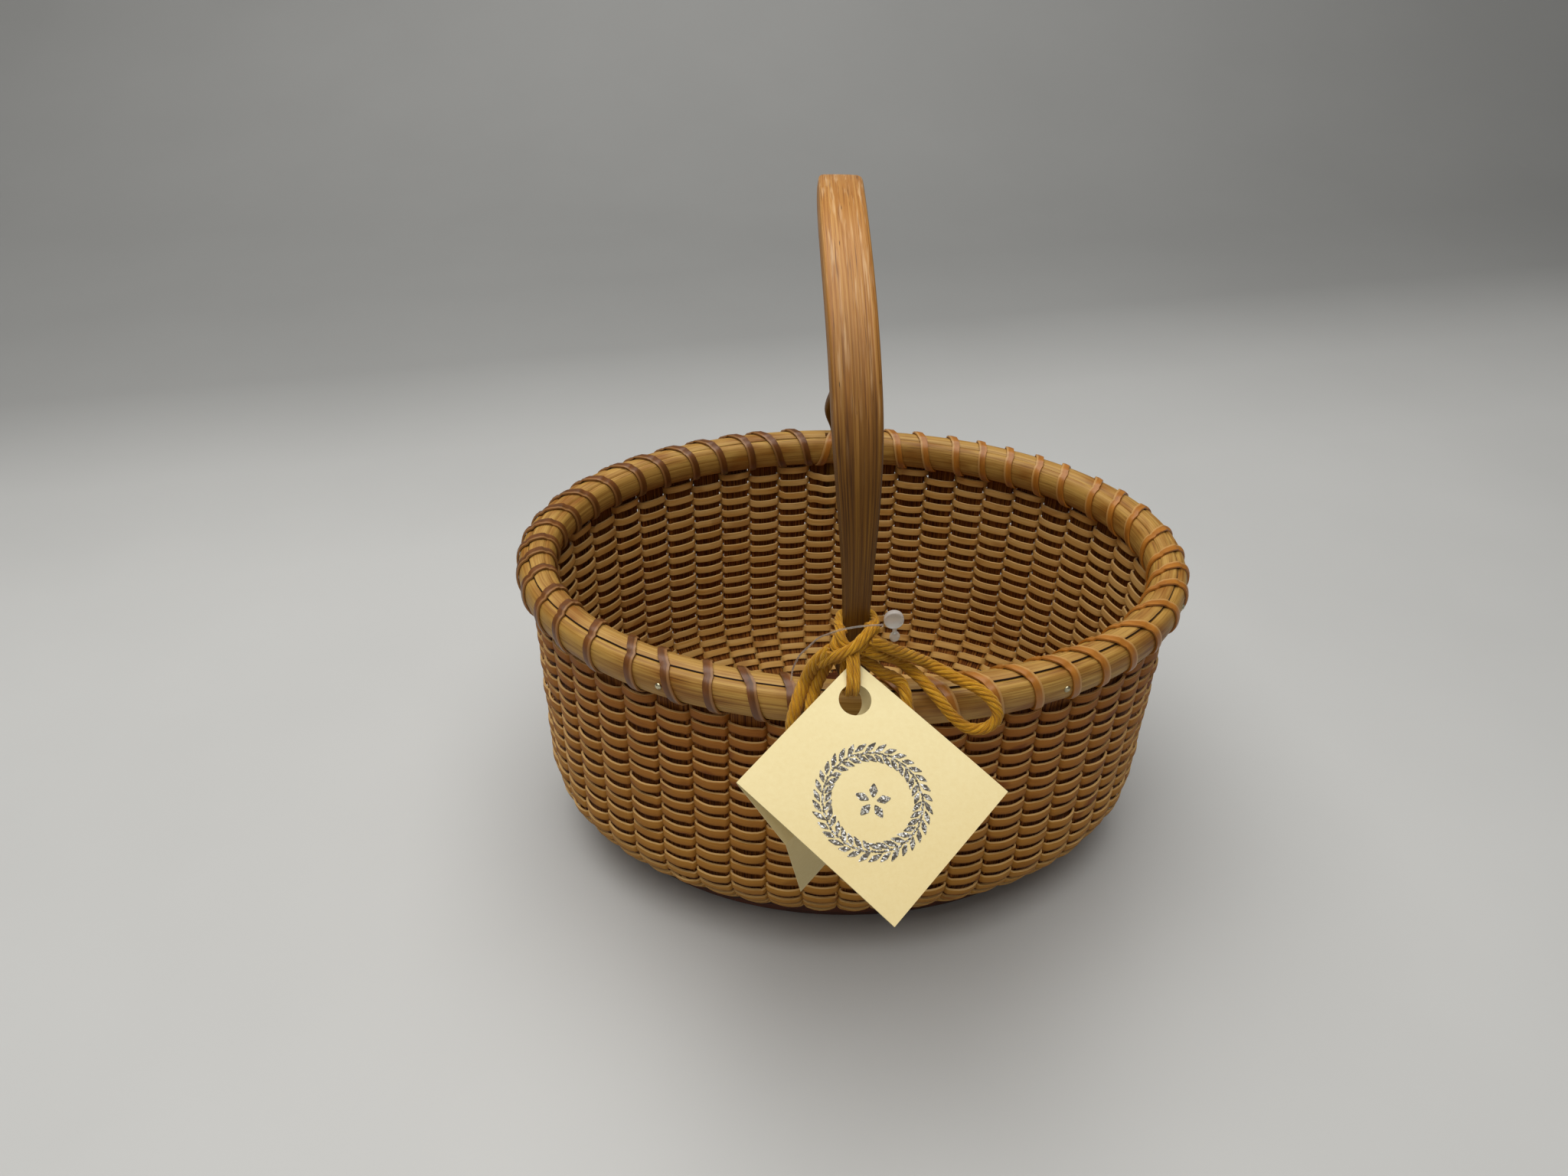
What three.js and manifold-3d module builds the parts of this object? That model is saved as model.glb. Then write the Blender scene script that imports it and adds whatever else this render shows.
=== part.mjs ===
// A small oval handled basket: wooden staves in a grooved oval base, woven with fine cane, with a
// lashed rim of two half-round hoops, one carved handle, and a folded card tag tied on with yarn.
// Millimetres, +Z up. The origin is the middle of the base's underside, +X runs along the basket,
// and the handle stands across it.
import * as THREE from 'three';
import { mergeVertices } from 'three/addons/utils/BufferGeometryUtils.js';
import Module from 'manifold-3d';

const wasm = await Module();
wasm.setup();

// Whole basket
const WALL_HALF_LENGTH = 95;
const WALL_HALF_WIDTH = 70.4;
const RIM_HEIGHT = 105;
const FIT_GAP = 0.3;

// Wall and staves
const STAVE_COUNT = 49;
const STAVE_THICKNESS = 1.4;
const STAVE_SPACE = 1.5;
const CANE_SKIN = 0.9;
const CORNER_TOP = 30.6;
const CORNER_INSET = 32.3;
const CORNER_HEIGHT = 28;
const CORNER_STEPS = 3;
const WEAVE_INSET = 14.5;
const STAVE_TIE = 3;

// Base
const BASE_THICKNESS = 9.4;
const BASE_INSET = 14.2;
const BASE_EDGE_ROUND = 1;
const GROOVE_DEPTH = 5;

// Rim
const HOOP_HEIGHT = 10;
const HOOP_THICKNESS = 4.3;
const HOOP_TOP_FLAT = 1.1;
const HOOP_SEGMENTS = 84;
const COVER_WIDTH = 4;
const COVER_THICKNESS = 1.1;

// Lashing
const LASH_WIDTH = 2.6;
const LASH_THICKNESS = 0.6;
const LASH_LEAN_INSIDE = 3.7;
const LASH_LEAN_OUTSIDE = 2.9;
const LASH_PASS_WIDTH = 0.7;

// Handle
const HANDLE_RISE = 101;
const HANDLE_ARCH_POWER = 2.3;
const HANDLE_SHIFT = -2.66;
const HANDLE_LEAN = 5.3;
const HANDLE_SKEW = 0.035;
const GRIP_WIDTH = 12.1;
const GRIP_THICKNESS = 6;
const WAIST_WIDTH = 6.4;
const WAIST_HEIGHT = 17;
const SHOULDER_WIDTH = 10.4;
const SHOULDER_HEIGHT = 9;
const NECK_WIDTH = 5.4;
const TAIL_WIDTH = 7.5;
const TAIL_THICKNESS = 1.6;
const TAIL_LENGTH = 31;

// Tacks
const TACK_HEAD_RADIUS = 1;
const TACK_HEAD_THICKNESS = 0.5;
const TACK_SHANK_RADIUS = 0.45;
const TACK_SHANK_LENGTH = 2.4;

// Card tag: two leaves that share a fold
const CARD_THICKNESS = 0.4;
const TAG_FOLD_LENGTH = 41.4;
const TAG_WIDTH = 46.9;
const TAG_CORNER = new THREE.Vector3(-5.9, -79.5, 119.9);
const TAG_SLOPE = 30;
const TAG_TURN = 7.7;
const TAG_ROLL = 40.8;
const TAG_HOLE_RADIUS = 3.9;
const TAG_HOLE_PLACE = [7.6, 6.7];
const LEAF_OPENING = 35.4;
const LEAF_BEND = 72;
const LEAF_CREASE = 20.3;

// Yarn and the clear loop fastener
const YARN_DIAMETER = 3.1;
const KNOT_CENTRE = new THREE.Vector3(-7, -77, 124);
const KNOT_RADIUS = 3.2;
const KNOT_HALF_LENGTH = 4.4;
const FILAMENT_DIAMETER = 0.6;
const FASTENER_HEAD_RADIUS = 2.45;
const FASTENER_HEAD_THICKNESS = 1.6;
const CORD_SIDES = 8;

const TURN = 2 * Math.PI;
const RIM_TOP = RIM_HEIGHT - COVER_THICKNESS;
const HOOP_BOTTOM = RIM_TOP - HOOP_HEIGHT;
const WALL_THICKNESS = STAVE_THICKNESS + 2 * CANE_SKIN;
const STAVE_SINK = 0.1;
const HOOP_SEAT = STAVE_THICKNESS / 2 + FIT_GAP + 0.1;
const HOOP_OUTSIDE = HOOP_SEAT + HOOP_THICKNESS;
const LASH_ROOM = LASH_THICKNESS + 2 * FIT_GAP + 0.2;
const WALL_TOP = HOOP_BOTTOM - LASH_ROOM;

// One way round the wall's oval, with even steps of length on the oval at any offset from it.
const ovalSamples = [];
const OVAL_STEPS = 1440;
for (let i = 0; i <= OVAL_STEPS; i++) {
  const t = (i / OVAL_STEPS) * TURN;
  const x = WALL_HALF_LENGTH * Math.cos(t);
  const y = WALL_HALF_WIDTH * Math.sin(t);
  let facing = Math.atan2(Math.sin(t) / WALL_HALF_WIDTH, Math.cos(t) / WALL_HALF_LENGTH);
  if (facing < -1e-9) facing += TURN;
  if (i === OVAL_STEPS) facing = TURN;
  const last = ovalSamples[i - 1];
  const length = last ? last.length + Math.hypot(x - last.x, y - last.y) : 0;
  ovalSamples.push({ x, y, facing, length });
}
const OVAL_LENGTH = ovalSamples[OVAL_STEPS].length;

// The point at a share of the way round (0 at +X, a quarter at +Y), offset outwards from the wall.
function ovalPoint(share, offset) {
  const part = ((share % 1) + 1) % 1;
  const target = part * (OVAL_LENGTH + TURN * offset);
  let low = 0;
  let high = OVAL_STEPS;
  while (high - low > 1) {
    const middle = (low + high) >> 1;
    if (ovalSamples[middle].length + offset * ovalSamples[middle].facing > target) high = middle;
    else low = middle;
  }
  const a = ovalSamples[low];
  const b = ovalSamples[high];
  const lengthA = a.length + offset * a.facing;
  const lengthB = b.length + offset * b.facing;
  const mix = (target - lengthA) / (lengthB - lengthA);
  const facing = a.facing + (b.facing - a.facing) * mix;
  const outward = new THREE.Vector2(Math.cos(facing), Math.sin(facing));
  return {
    x: a.x + (b.x - a.x) * mix + offset * outward.x,
    y: a.y + (b.y - a.y) * mix + offset * outward.y,
    outward,
  };
}

// Every vertex of a geometry goes to a new place.
function bent(geometry, place) {
  const positions = geometry.attributes.position;
  for (let i = 0; i < positions.count; i++) {
    const p = place(positions.getX(i), positions.getY(i), positions.getZ(i));
    positions.setXYZ(i, p.x, p.y, p.z);
  }
  return geometry;
}

// A closed solid with its shared corners merged and its faces pointing out.
function closed(geometry) {
  const bare = new THREE.BufferGeometry();
  bare.setAttribute('position', geometry.attributes.position.clone());
  if (geometry.index) bare.setIndex(geometry.index.clone());
  const merged = mergeVertices(bare, 1e-3);
  const corners = merged.attributes.position.array;
  const index = [];
  const source = merged.index.array;
  let volume = 0;
  const a = new THREE.Vector3();
  const b = new THREE.Vector3();
  const c = new THREE.Vector3();
  for (let i = 0; i < source.length; i += 3) {
    const [u, v, w] = [source[i], source[i + 1], source[i + 2]];
    if (u === v || v === w || w === u) continue;
    index.push(u, v, w);
    a.fromArray(corners, 3 * u);
    volume += a.dot(b.fromArray(corners, 3 * v).cross(c.fromArray(corners, 3 * w)));
  }
  if (volume < 0) {
    for (let i = 0; i < index.length; i += 3) [index[i + 1], index[i + 2]] = [index[i + 2], index[i + 1]];
  }
  merged.setIndex(index);
  return merged;
}

function toSolid(geometry) {
  const shape = closed(geometry);
  return new wasm.Manifold(new wasm.Mesh({
    numProp: 3,
    vertProperties: Float32Array.from(shape.attributes.position.array),
    triVerts: Uint32Array.from(shape.index.array),
  }));
}

function fromSolid(solid) {
  const mesh = solid.getMesh();
  const geometry = new THREE.BufferGeometry();
  geometry.setAttribute('position', new THREE.BufferAttribute(Float32Array.from(mesh.vertProperties), 3));
  geometry.setIndex(new THREE.BufferAttribute(Uint32Array.from(mesh.triVerts), 1));
  return geometry;
}

function cut(geometry, cutters) {
  let solid = toSolid(geometry);
  for (const cutter of cutters) solid = solid.subtract(toSolid(cutter));
  return fromSolid(solid);
}

function joined(geometries) {
  let solid = toSolid(geometries[0]);
  for (const geometry of geometries.slice(1)) solid = solid.add(toSolid(geometry));
  return fromSolid(solid);
}

// A ring with the section given as [offset, height] corners, all round the oval. A corner at
// the offset TO_MIDDLE lies on the middle of the basket.
const OVAL_REFERENCE = 3 * WALL_HALF_LENGTH;
const TO_MIDDLE = -OVAL_REFERENCE;

function ovalRing(section, segments, phase = 0) {
  const points = section.map(([offset, height]) => new THREE.Vector2(OVAL_REFERENCE + offset, height));
  points.push(points[0].clone());
  const lathe = new THREE.LatheGeometry(points, segments);
  return bent(lathe, (x, y, z) => {
    const radius = Math.hypot(x, z);
    if (radius < 1) return new THREE.Vector3(0, 0, y);
    const share = Math.round((Math.atan2(x, z) / TURN) * segments) / segments;
    const p = ovalPoint(share + phase, radius - OVAL_REFERENCE);
    return new THREE.Vector3(p.x, p.y, y);
  });
}

// A strip whose section is a list of [across, out] corners. At each of its stations the
// function gives the middle, the directions across and out, and the scale of both.
function strip(section, stationCount, station) {
  const shape = new THREE.Shape(section.map(([across, out]) => new THREE.Vector2(across, out)));
  const steps = stationCount - 1;
  const straight = new THREE.ExtrudeGeometry(shape, { depth: steps, steps, bevelEnabled: false });
  const stations = Array.from({ length: stationCount }, (_, i) => station(i));
  return bent(straight, (x, y, z) => {
    const s = stations[Math.round(z)];
    return s.middle.clone().addScaledVector(s.across, x * s.width).addScaledVector(s.out, y * s.depth);
  });
}

const boxSection = (width, depth) => [
  [-width / 2, -depth / 2], [width / 2, -depth / 2], [width / 2, depth / 2], [-width / 2, depth / 2],
];

// The wall's middle line from the top down, then round the lower corner to the weave's edge.
const EDGE_ANGLE = Math.acos(1 - WEAVE_INSET / CORNER_INSET);

function wallStations(top) {
  const stations = [{ inset: 0, height: top, out: 1, up: 0 }];
  for (let i = 0; i <= CORNER_STEPS; i++) {
    const angle = (i / CORNER_STEPS) * EDGE_ANGLE;
    const out = Math.cos(angle) / CORNER_INSET;
    const up = -Math.sin(angle) / CORNER_HEIGHT;
    const size = Math.hypot(out, up);
    stations.push({
      inset: CORNER_INSET * (1 - Math.cos(angle)),
      height: CORNER_TOP - CORNER_HEIGHT * Math.sin(angle),
      out: out / size,
      up: up / size,
    });
  }
  return stations;
}

// The staves' line past the weave's edge: straight on, in and down into the base's groove.
const weaveEdge = wallStations(RIM_HEIGHT)[CORNER_STEPS + 1];

function pastEdge(length) {
  return {
    inset: weaveEdge.inset - length * weaveEdge.up,
    height: weaveEdge.height - length * weaveEdge.out,
    out: weaveEdge.out,
    up: weaveEdge.up,
  };
}

const stavePitch = (inset) => (OVAL_LENGTH - TURN * inset) / STAVE_COUNT;
const staveShare = (k) => (k + 0.75) / STAVE_COUNT;

// A stave, or the slot for it when clearance is added, tapering with the space it has.
function stave(k, top, clearance, length) {
  const line = wallStations(top);
  // A slot runs straight on past the wall's own edge.
  if (clearance > 0) line.pop();
  line.push(pastEdge(length));
  return strip(boxSection(1, STAVE_THICKNESS + 2 * clearance), line.length, (i) => {
    const { inset, height, out, up } = line[i];
    const p = ovalPoint(staveShare(k), -inset - STAVE_SINK);
    return {
      middle: new THREE.Vector3(p.x, p.y, height),
      across: new THREE.Vector3(-p.outward.y, p.outward.x, 0),
      out: new THREE.Vector3(p.outward.x * out, p.outward.y * out, up),
      width: stavePitch(inset) - STAVE_SPACE + 2 * clearance,
      depth: 1,
    };
  });
}

// Two staves side by side, joined by a short tie at their ends, hidden in the base's groove.
function stavePair(first) {
  const top = RIM_TOP - FIT_GAP;
  const pieces = [stave(first, top, 0, GROOVE_DEPTH)];
  if (first + 1 < STAVE_COUNT) {
    pieces.push(stave(first + 1, top, 0, GROOVE_DEPTH));
    pieces.push(strip(boxSection(STAVE_SPACE + 0.8, STAVE_THICKNESS), 2, (i) => {
      const { inset, height, out, up } = pastEdge(GROOVE_DEPTH - i * STAVE_TIE);
      const p = ovalPoint(staveShare(first + 0.5), -inset - STAVE_SINK);
      return {
        middle: new THREE.Vector3(p.x, p.y, height),
        across: new THREE.Vector3(-p.outward.y, p.outward.x, 0),
        out: new THREE.Vector3(p.outward.x * out, p.outward.y * out, up),
        width: 1,
        depth: 1,
      };
    }));
  }
  return joined(pieces);
}

// Handle: widths and thicknesses at heights above the rim's top, below and above its waist.
function handleArch(angle) {
  const c = Math.cos(angle);
  const s = Math.abs(Math.sin(angle));
  const y = -WALL_HALF_WIDTH * Math.sign(c) * Math.abs(c) ** (2 / HANDLE_ARCH_POWER);
  return { y, rise: HANDLE_RISE * s ** (2 / HANDLE_ARCH_POWER) };
}

const handleX = (y, rise) => HANDLE_SHIFT - HANDLE_LEAN * (rise / HANDLE_RISE) ** 3 + HANDLE_SKEW * y;

// Where the handle's foot stands on the rim: side -1 is the front one, side 1 the rear one.
const footShare = (side) => 0.5 - side * (0.25 + handleX(side * WALL_HALF_WIDTH, 0) / OVAL_LENGTH);

function smooth(from, to, value) {
  const t = Math.min(Math.max((value - from) / (to - from), 0), 1);
  return t * t * (3 - 2 * t);
}

function handleWidth(rise) {
  const shoulder = NECK_WIDTH + (SHOULDER_WIDTH - NECK_WIDTH) * smooth(0, SHOULDER_HEIGHT, rise);
  const waist = shoulder + (WAIST_WIDTH - SHOULDER_WIDTH) * smooth(SHOULDER_HEIGHT, WAIST_HEIGHT, rise);
  const grip = waist + (GRIP_WIDTH - WAIST_WIDTH) * smooth(WAIST_HEIGHT, 0.7 * HANDLE_RISE, rise);
  return rise > WAIST_HEIGHT ? grip : waist;
}

const handleDepth = (rise) => 4.4 + (GRIP_THICKNESS - 4.4) * smooth(0, SHOULDER_HEIGHT, rise);

const TAIL_OUT = -(HOOP_SEAT + TAIL_THICKNESS / 2);
const LOW_RISES = [1.2, 2.6, 4.5, 6.5, 9, 11.5, 14, 16, 18.5, 22, 26];
const ARCH_STEPS = 22;

// Stations of the handle from the front tail's tip, over the top, to the rear tail's tip.
function handleStations() {
  const stations = [];
  const tail = (side, height) => {
    const p = ovalPoint(footShare(side), TAIL_OUT);
    stations.push({
      middle: new THREE.Vector3(p.x, p.y, RIM_HEIGHT + height),
      across: new THREE.Vector3(side * p.outward.y, -side * p.outward.x, 0),
      out: new THREE.Vector3(p.outward.x, p.outward.y, 0),
      width: TAIL_WIDTH,
      depth: TAIL_THICKNESS,
    });
  };
  const angleAt = (rise) => Math.asin((rise / HANDLE_RISE) ** (HANDLE_ARCH_POWER / 2));
  const front = LOW_RISES.map(angleAt);
  const start = front[front.length - 1];
  const over = [];
  for (let i = 1; i < ARCH_STEPS; i++) over.push(start + ((Math.PI - 2 * start) * i) / ARCH_STEPS);
  const rear = front.map((angle) => Math.PI - angle).reverse();
  tail(-1, -TAIL_LENGTH);
  tail(-1, 0.2);
  for (const angle of [...front, ...over, ...rear]) {
    const here = handleArch(angle);
    const ahead = handleArch(angle + 0.002);
    const back = handleArch(angle - 0.002);
    const along = new THREE.Vector2(ahead.y - back.y, ahead.rise - back.rise).normalize();
    stations.push({
      middle: new THREE.Vector3(handleX(here.y, here.rise), here.y, RIM_HEIGHT + here.rise),
      across: new THREE.Vector3(1, 0, 0),
      out: new THREE.Vector3(0, -along.y, along.x),
      width: handleWidth(here.rise),
      depth: handleDepth(here.rise),
    });
  }
  tail(1, 0.2);
  tail(1, -TAIL_LENGTH);
  return stations;
}

// The grip's section: a flat-sided oval, one unit wide and deep.
function gripSection(round) {
  const corners = [];
  for (const [x, y, start] of [[1, -1, -0.25], [1, 1, 0], [-1, 1, 0.25], [-1, -1, 0.5]]) {
    for (let i = 0; i <= 2; i++) {
      const angle = (start + i / 8) * TURN;
      corners.push([
        x * (0.5 - round[0]) + round[0] * Math.cos(angle),
        y * (0.5 - round[1]) + round[1] * Math.sin(angle),
      ]);
    }
  }
  return corners;
}

function handle() {
  const stations = handleStations();
  return strip(gripSection([0.2, 0.34]), stations.length, (i) => stations[i]);
}

// The room that the two tails need in the wall and the inner hoop.
function tailRoom(side) {
  const p = ovalPoint(footShare(side), TAIL_OUT);
  const depth = TAIL_THICKNESS + 2 * FIT_GAP;
  const box = new THREE.BoxGeometry(depth, TAIL_WIDTH + 2 * FIT_GAP, TAIL_LENGTH + 2 * FIT_GAP);
  box.rotateZ(Math.atan2(p.outward.y, p.outward.x));
  box.translate(p.x, p.y, RIM_HEIGHT - TAIL_LENGTH / 2);
  return box;
}

// Rim hoops: flat against the staves, half round away from them.
function hoopSection(side) {
  const half = HOOP_HEIGHT / 2;
  const middle = HOOP_BOTTOM + half;
  const corners = [[side * HOOP_SEAT, middle - half], [side * (HOOP_SEAT + HOOP_TOP_FLAT), middle - half]];
  const belly = HOOP_THICKNESS - HOOP_TOP_FLAT;
  for (const degrees of [-55, 0, 55]) {
    const angle = (degrees * Math.PI) / 180;
    corners.push([
      side * (HOOP_SEAT + HOOP_TOP_FLAT + belly * Math.cos(angle) ** 0.8),
      middle + half * Math.sin(angle),
    ]);
  }
  corners.push([side * (HOOP_SEAT + HOOP_TOP_FLAT), middle + half], [side * HOOP_SEAT, middle + half]);
  return corners;
}

// A length of the rim's cover strip between two shares of the way round.
function coverStrip(from, to) {
  const stationCount = 30;
  const middleHeight = RIM_HEIGHT - COVER_THICKNESS / 2 + 0.15;
  return strip(boxSection(COVER_WIDTH, COVER_THICKNESS - 0.3), stationCount, (i) => {
    const p = ovalPoint(from + ((to - from) * i) / (stationCount - 1), 0);
    return {
      middle: new THREE.Vector3(p.x, p.y, middleHeight),
      across: new THREE.Vector3(p.outward.x, p.outward.y, 0),
      out: new THREE.Vector3(0, 0, 1),
      width: 1,
      depth: 1,
    };
  });
}

// One strand of lashing: up inside, over the rim, down outside, and in again below the hoops
// between the next two staves. Each corner of a turn is [offset, height, share of pitch, width].
function lashing(firstGap, turns) {
  const off = FIT_GAP + LASH_THICKNESS / 2;
  const middle = HOOP_BOTTOM + HOOP_HEIGHT / 2;
  const under = HOOP_BOTTOM - off - 0.1;
  const over = RIM_HEIGHT + off + 0.05;
  const edge = COVER_WIDTH / 2 + 0.4;
  const shoulder = HOOP_SEAT + HOOP_TOP_FLAT + 0.58 * HOOP_THICKNESS;
  const belly = HOOP_OUTSIDE + off + 0.15;
  const inside = LASH_LEAN_INSIDE / stavePitch(0);
  const outside = LASH_LEAN_OUTSIDE / stavePitch(0);
  const round = [
    [-0.9, under, 0, LASH_PASS_WIDTH],
    [-edge, under, 0.02, LASH_WIDTH],
    [-shoulder, middle - HOOP_HEIGHT / 2, 0.04, LASH_WIDTH],
    [-belly, middle, inside / 2, LASH_WIDTH],
    [-shoulder, middle + HOOP_HEIGHT / 2, inside, LASH_WIDTH],
    [-edge, over, inside + 0.08, LASH_WIDTH],
    [edge, over, 0.92 - outside, LASH_WIDTH],
    [shoulder, middle + HOOP_HEIGHT / 2, 1 - outside, LASH_WIDTH],
    [belly, middle, 1 - outside / 2, LASH_WIDTH],
    [shoulder, middle - HOOP_HEIGHT / 2, 0.96, LASH_WIDTH],
    [edge, under, 0.98, LASH_WIDTH],
    [0.9, under, 1, LASH_PASS_WIDTH],
  ];
  const line = [];
  for (let turn = 0; turn < turns; turn++) {
    for (const [offset, height, along, width] of round) line.push([offset, height, turn + along, width]);
  }
  return strip(boxSection(1, LASH_THICKNESS), line.length, (i) => {
    const [offset, height, along, width] = line[i];
    const before = line[Math.max(i - 1, 0)];
    const after = line[Math.min(i + 1, line.length - 1)];
    const p = ovalPoint((firstGap + along + 0.25) / STAVE_COUNT, offset);
    const run = new THREE.Vector2(after[0] - before[0], after[1] - before[1]).normalize();
    return {
      middle: new THREE.Vector3(p.x, p.y, height),
      across: new THREE.Vector3(-p.outward.y, p.outward.x, 0),
      out: new THREE.Vector3(-run.y * p.outward.x, -run.y * p.outward.y, run.x),
      width,
      depth: 1,
    };
  });
}

// Tacks, each a round head on the outer hoop with its shank in a drilled hole, between two wraps.
// Places are counted in staves round the basket.
const TACK_PLACES = [31.77, 41.45, 46.45, 6.62, 18.62, 21.62];
const tackShares = TACK_PLACES.map((place) => place / STAVE_COUNT);

function tackPart(share, radius, from, to) {
  const p = ovalPoint(share, 0);
  const pin = new THREE.CylinderGeometry(radius, radius, to - from, 8);
  pin.rotateZ(-TURN / 4);
  pin.translate((from + to) / 2, 0, 0);
  pin.rotateZ(Math.atan2(p.outward.y, p.outward.x));
  pin.translate(p.x, p.y, HOOP_BOTTOM + HOOP_HEIGHT / 2);
  return pin;
}

function tack(share) {
  const face = HOOP_OUTSIDE + FIT_GAP;
  const tip = face - TACK_SHANK_LENGTH;
  const shank = tackPart(share, TACK_SHANK_RADIUS, tip, face + TACK_HEAD_THICKNESS / 2);
  const head = tackPart(share, TACK_HEAD_RADIUS, face, face + TACK_HEAD_THICKNESS);
  return joined([head, shank]);
}

function tackHole(share) {
  const face = HOOP_OUTSIDE + FIT_GAP;
  return tackPart(share, TACK_SHANK_RADIUS + FIT_GAP, face - TACK_SHANK_LENGTH - FIT_GAP, face + 1);
}

// Oval base board: its upper edge is cut to fit against the weave's edge, and a slanted groove
// round it holds the ends of the staves.
function baseBoard() {
  const fit = pastEdge(FIT_GAP);
  const lean = -fit.out / fit.up;
  const bevelInset = (height) => fit.inset + (height - fit.height) * lean;
  const shoulder = fit.height + (BASE_INSET - fit.inset) / lean;
  const board = ovalRing([
    [TO_MIDDLE, 0], [-(BASE_INSET + BASE_EDGE_ROUND), 0], [-BASE_INSET, BASE_EDGE_ROUND],
    [-BASE_INSET, shoulder], [-bevelInset(BASE_THICKNESS), BASE_THICKNESS], [TO_MIDDLE, BASE_THICKNESS],
  ], STAVE_COUNT, 0.25 / STAVE_COUNT);
  const half = STAVE_THICKNESS / 2 + FIT_GAP;
  const mouth = pastEdge(-2);
  const end = pastEdge(GROOVE_DEPTH + FIT_GAP);
  const corner = (s, side) => [-s.inset + side * half * s.out, s.height + side * half * s.up];
  const section = [corner(mouth, 1), corner(mouth, -1), corner(end, -1), corner(end, 1)];
  return cut(board, [ovalRing(section, STAVE_COUNT, 0.25 / STAVE_COUNT)]);
}

function wovenWall() {
  const line = wallStations(WALL_TOP);
  const half = WALL_THICKNESS / 2;
  const outer = line.map((s) => [-s.inset + half * s.out, s.height + half * s.up]);
  const inner = line.map((s) => [-s.inset - half * s.out, s.height - half * s.up]);
  const shell = ovalRing([...outer, ...inner.reverse()], STAVE_COUNT, 0.25 / STAVE_COUNT);
  const slots = [];
  for (let k = 0; k < STAVE_COUNT; k++) {
    slots.push(toSolid(stave(k, WALL_TOP + 1, FIT_GAP, 0.5)));
  }
  let solid = toSolid(shell);
  for (const slot of slots) solid = solid.subtract(slot);
  for (const side of [-1, 1]) solid = solid.subtract(toSolid(tailRoom(side)));
  return fromSolid(solid);
}

// Cords: a round tube along a smooth line through the points.
function cord(points, diameter, stepLength) {
  const places = points.map(([x, y, z]) => new THREE.Vector3(x, y, z));
  const line = new THREE.CatmullRomCurve3(places, false, 'centripetal');
  const section = new THREE.Shape();
  for (let i = 0; i < CORD_SIDES; i++) {
    const angle = (i / CORD_SIDES) * TURN;
    const corner = [Math.cos(angle) * diameter / 2, Math.sin(angle) * diameter / 2];
    if (i === 0) section.moveTo(...corner);
    else section.lineTo(...corner);
  }
  const steps = Math.ceil(line.getLength() / stepLength);
  const along = { extrudePath: line, steps, bevelEnabled: false, curveSegments: 1 };
  return new THREE.ExtrudeGeometry(section, along);
}

const YARN_STEP = 4;

// Routes of the yarn's free stretches, point by point.
const BOW_RIGHT = [
  [-2.1, -77.6, 124.8], [0.8, -77.2, 122.7], [5.3, -75, 119], [9.6, -72.5, 115.4],
  [14, -70.5, 111.6], [20.4, -72.8, 109.1], [25.9, -75.6, 107.7], [29.5, -77.4, 105],
  [30.9, -78.6, 101.3], [28.5, -79.2, 98.3], [24, -79.2, 98], [20, -78.4, 100.9],
  [16, -76.6, 105.4], [12.4, -73.6, 108.4], [9.2, -71.2, 110.4], [6.2, -71.4, 113.4],
  [2.6, -74.4, 117.2], [-0.6, -77, 119.9], [-3.4, -77.3, 121.5],
];
const TAIL_RIGHT = [
  [-4, -75.4, 118], [-1.2, -75.4, 115.4], [1.6, -75.1, 112.6], [4.7, -74.3, 110.4],
  [6.6, -74.6, 108.9], [7.5, -77, 107.6], [8, -79, 105], [8.5, -79.3, 100.3],
  [9.1, -79.2, 95.3],
];
const BOW_LEFT = [
  [-11.7, -77.4, 123.4], [-13.6, -76.5, 119.8], [-15.4, -74.8, 114.6], [-17.2, -74.2, 109.2],
  [-18.6, -76.2, 106.4], [-19.8, -78.6, 103], [-20.4, -79.5, 98.5], [-19.2, -79.6, 94.6],
  [-16.4, -79.6, 93.4], [-14.6, -79.6, 96.2], [-15, -79.2, 100.7], [-14.8, -77.2, 104.6],
  [-13.6, -74.6, 107.4], [-12.4, -74.6, 111.4], [-11.6, -74.6, 116], [-10.7, -74.9, 119.6],
  [-9.2, -75.3, 122],
];
const WRAP = [
  [-9.4, -76.2, 126.6], [-10.7, -74, 126.2], [-10.7, -70, 125.9], [-9.5, -66, 125.8],
  [-5, -64.2, 126], [-0.7, -66, 126], [0.3, -70, 126.2], [-0.4, -74, 127.1],
  [-3.2, -75.7, 127.6],
];
const TAG_TIE = [
  [-6.6, -79.6, 123.1], [-6.5, -82.2, 122], [-6.2, -85.4, 119.6], [-6.1, -88, 116.6],
  [-6.3, -88.3, 113.8], [-7, -86.4, 111.5], [-7.6, -83.4, 110.9], [-7.8, -80.2, 112.8],
  [-7.6, -78.2, 116.4], [-7.2, -77.4, 121.4],
];
const FILAMENT = [
  [0.5, -78, 129.2], [-4.3, -79.6, 130], [-8.9, -79.2, 128.8], [-12.3, -77.6, 126.2],
  [-14.6, -74.4, 122.4], [-16.5, -73, 119], [-18.3, -72, 116], [-19.6, -72, 113.4],
  [-20.4, -73, 111.4], [-20.7, -74.4, 109.4],
];

function knot(clearance) {
  const ball = new THREE.SphereGeometry(1, 12, 8);
  ball.rotateZ(TURN / 4);
  ball.scale(KNOT_HALF_LENGTH + clearance, KNOT_RADIUS + clearance, KNOT_RADIUS + clearance);
  ball.translate(...KNOT_CENTRE.toArray());
  return ball;
}

// A strand of yarn, cut back to a gap where it enters the knot.
function strand(points, stepLength) {
  return cut(cord(points, YARN_DIAMETER, stepLength), [knot(FIT_GAP)]);
}

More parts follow.
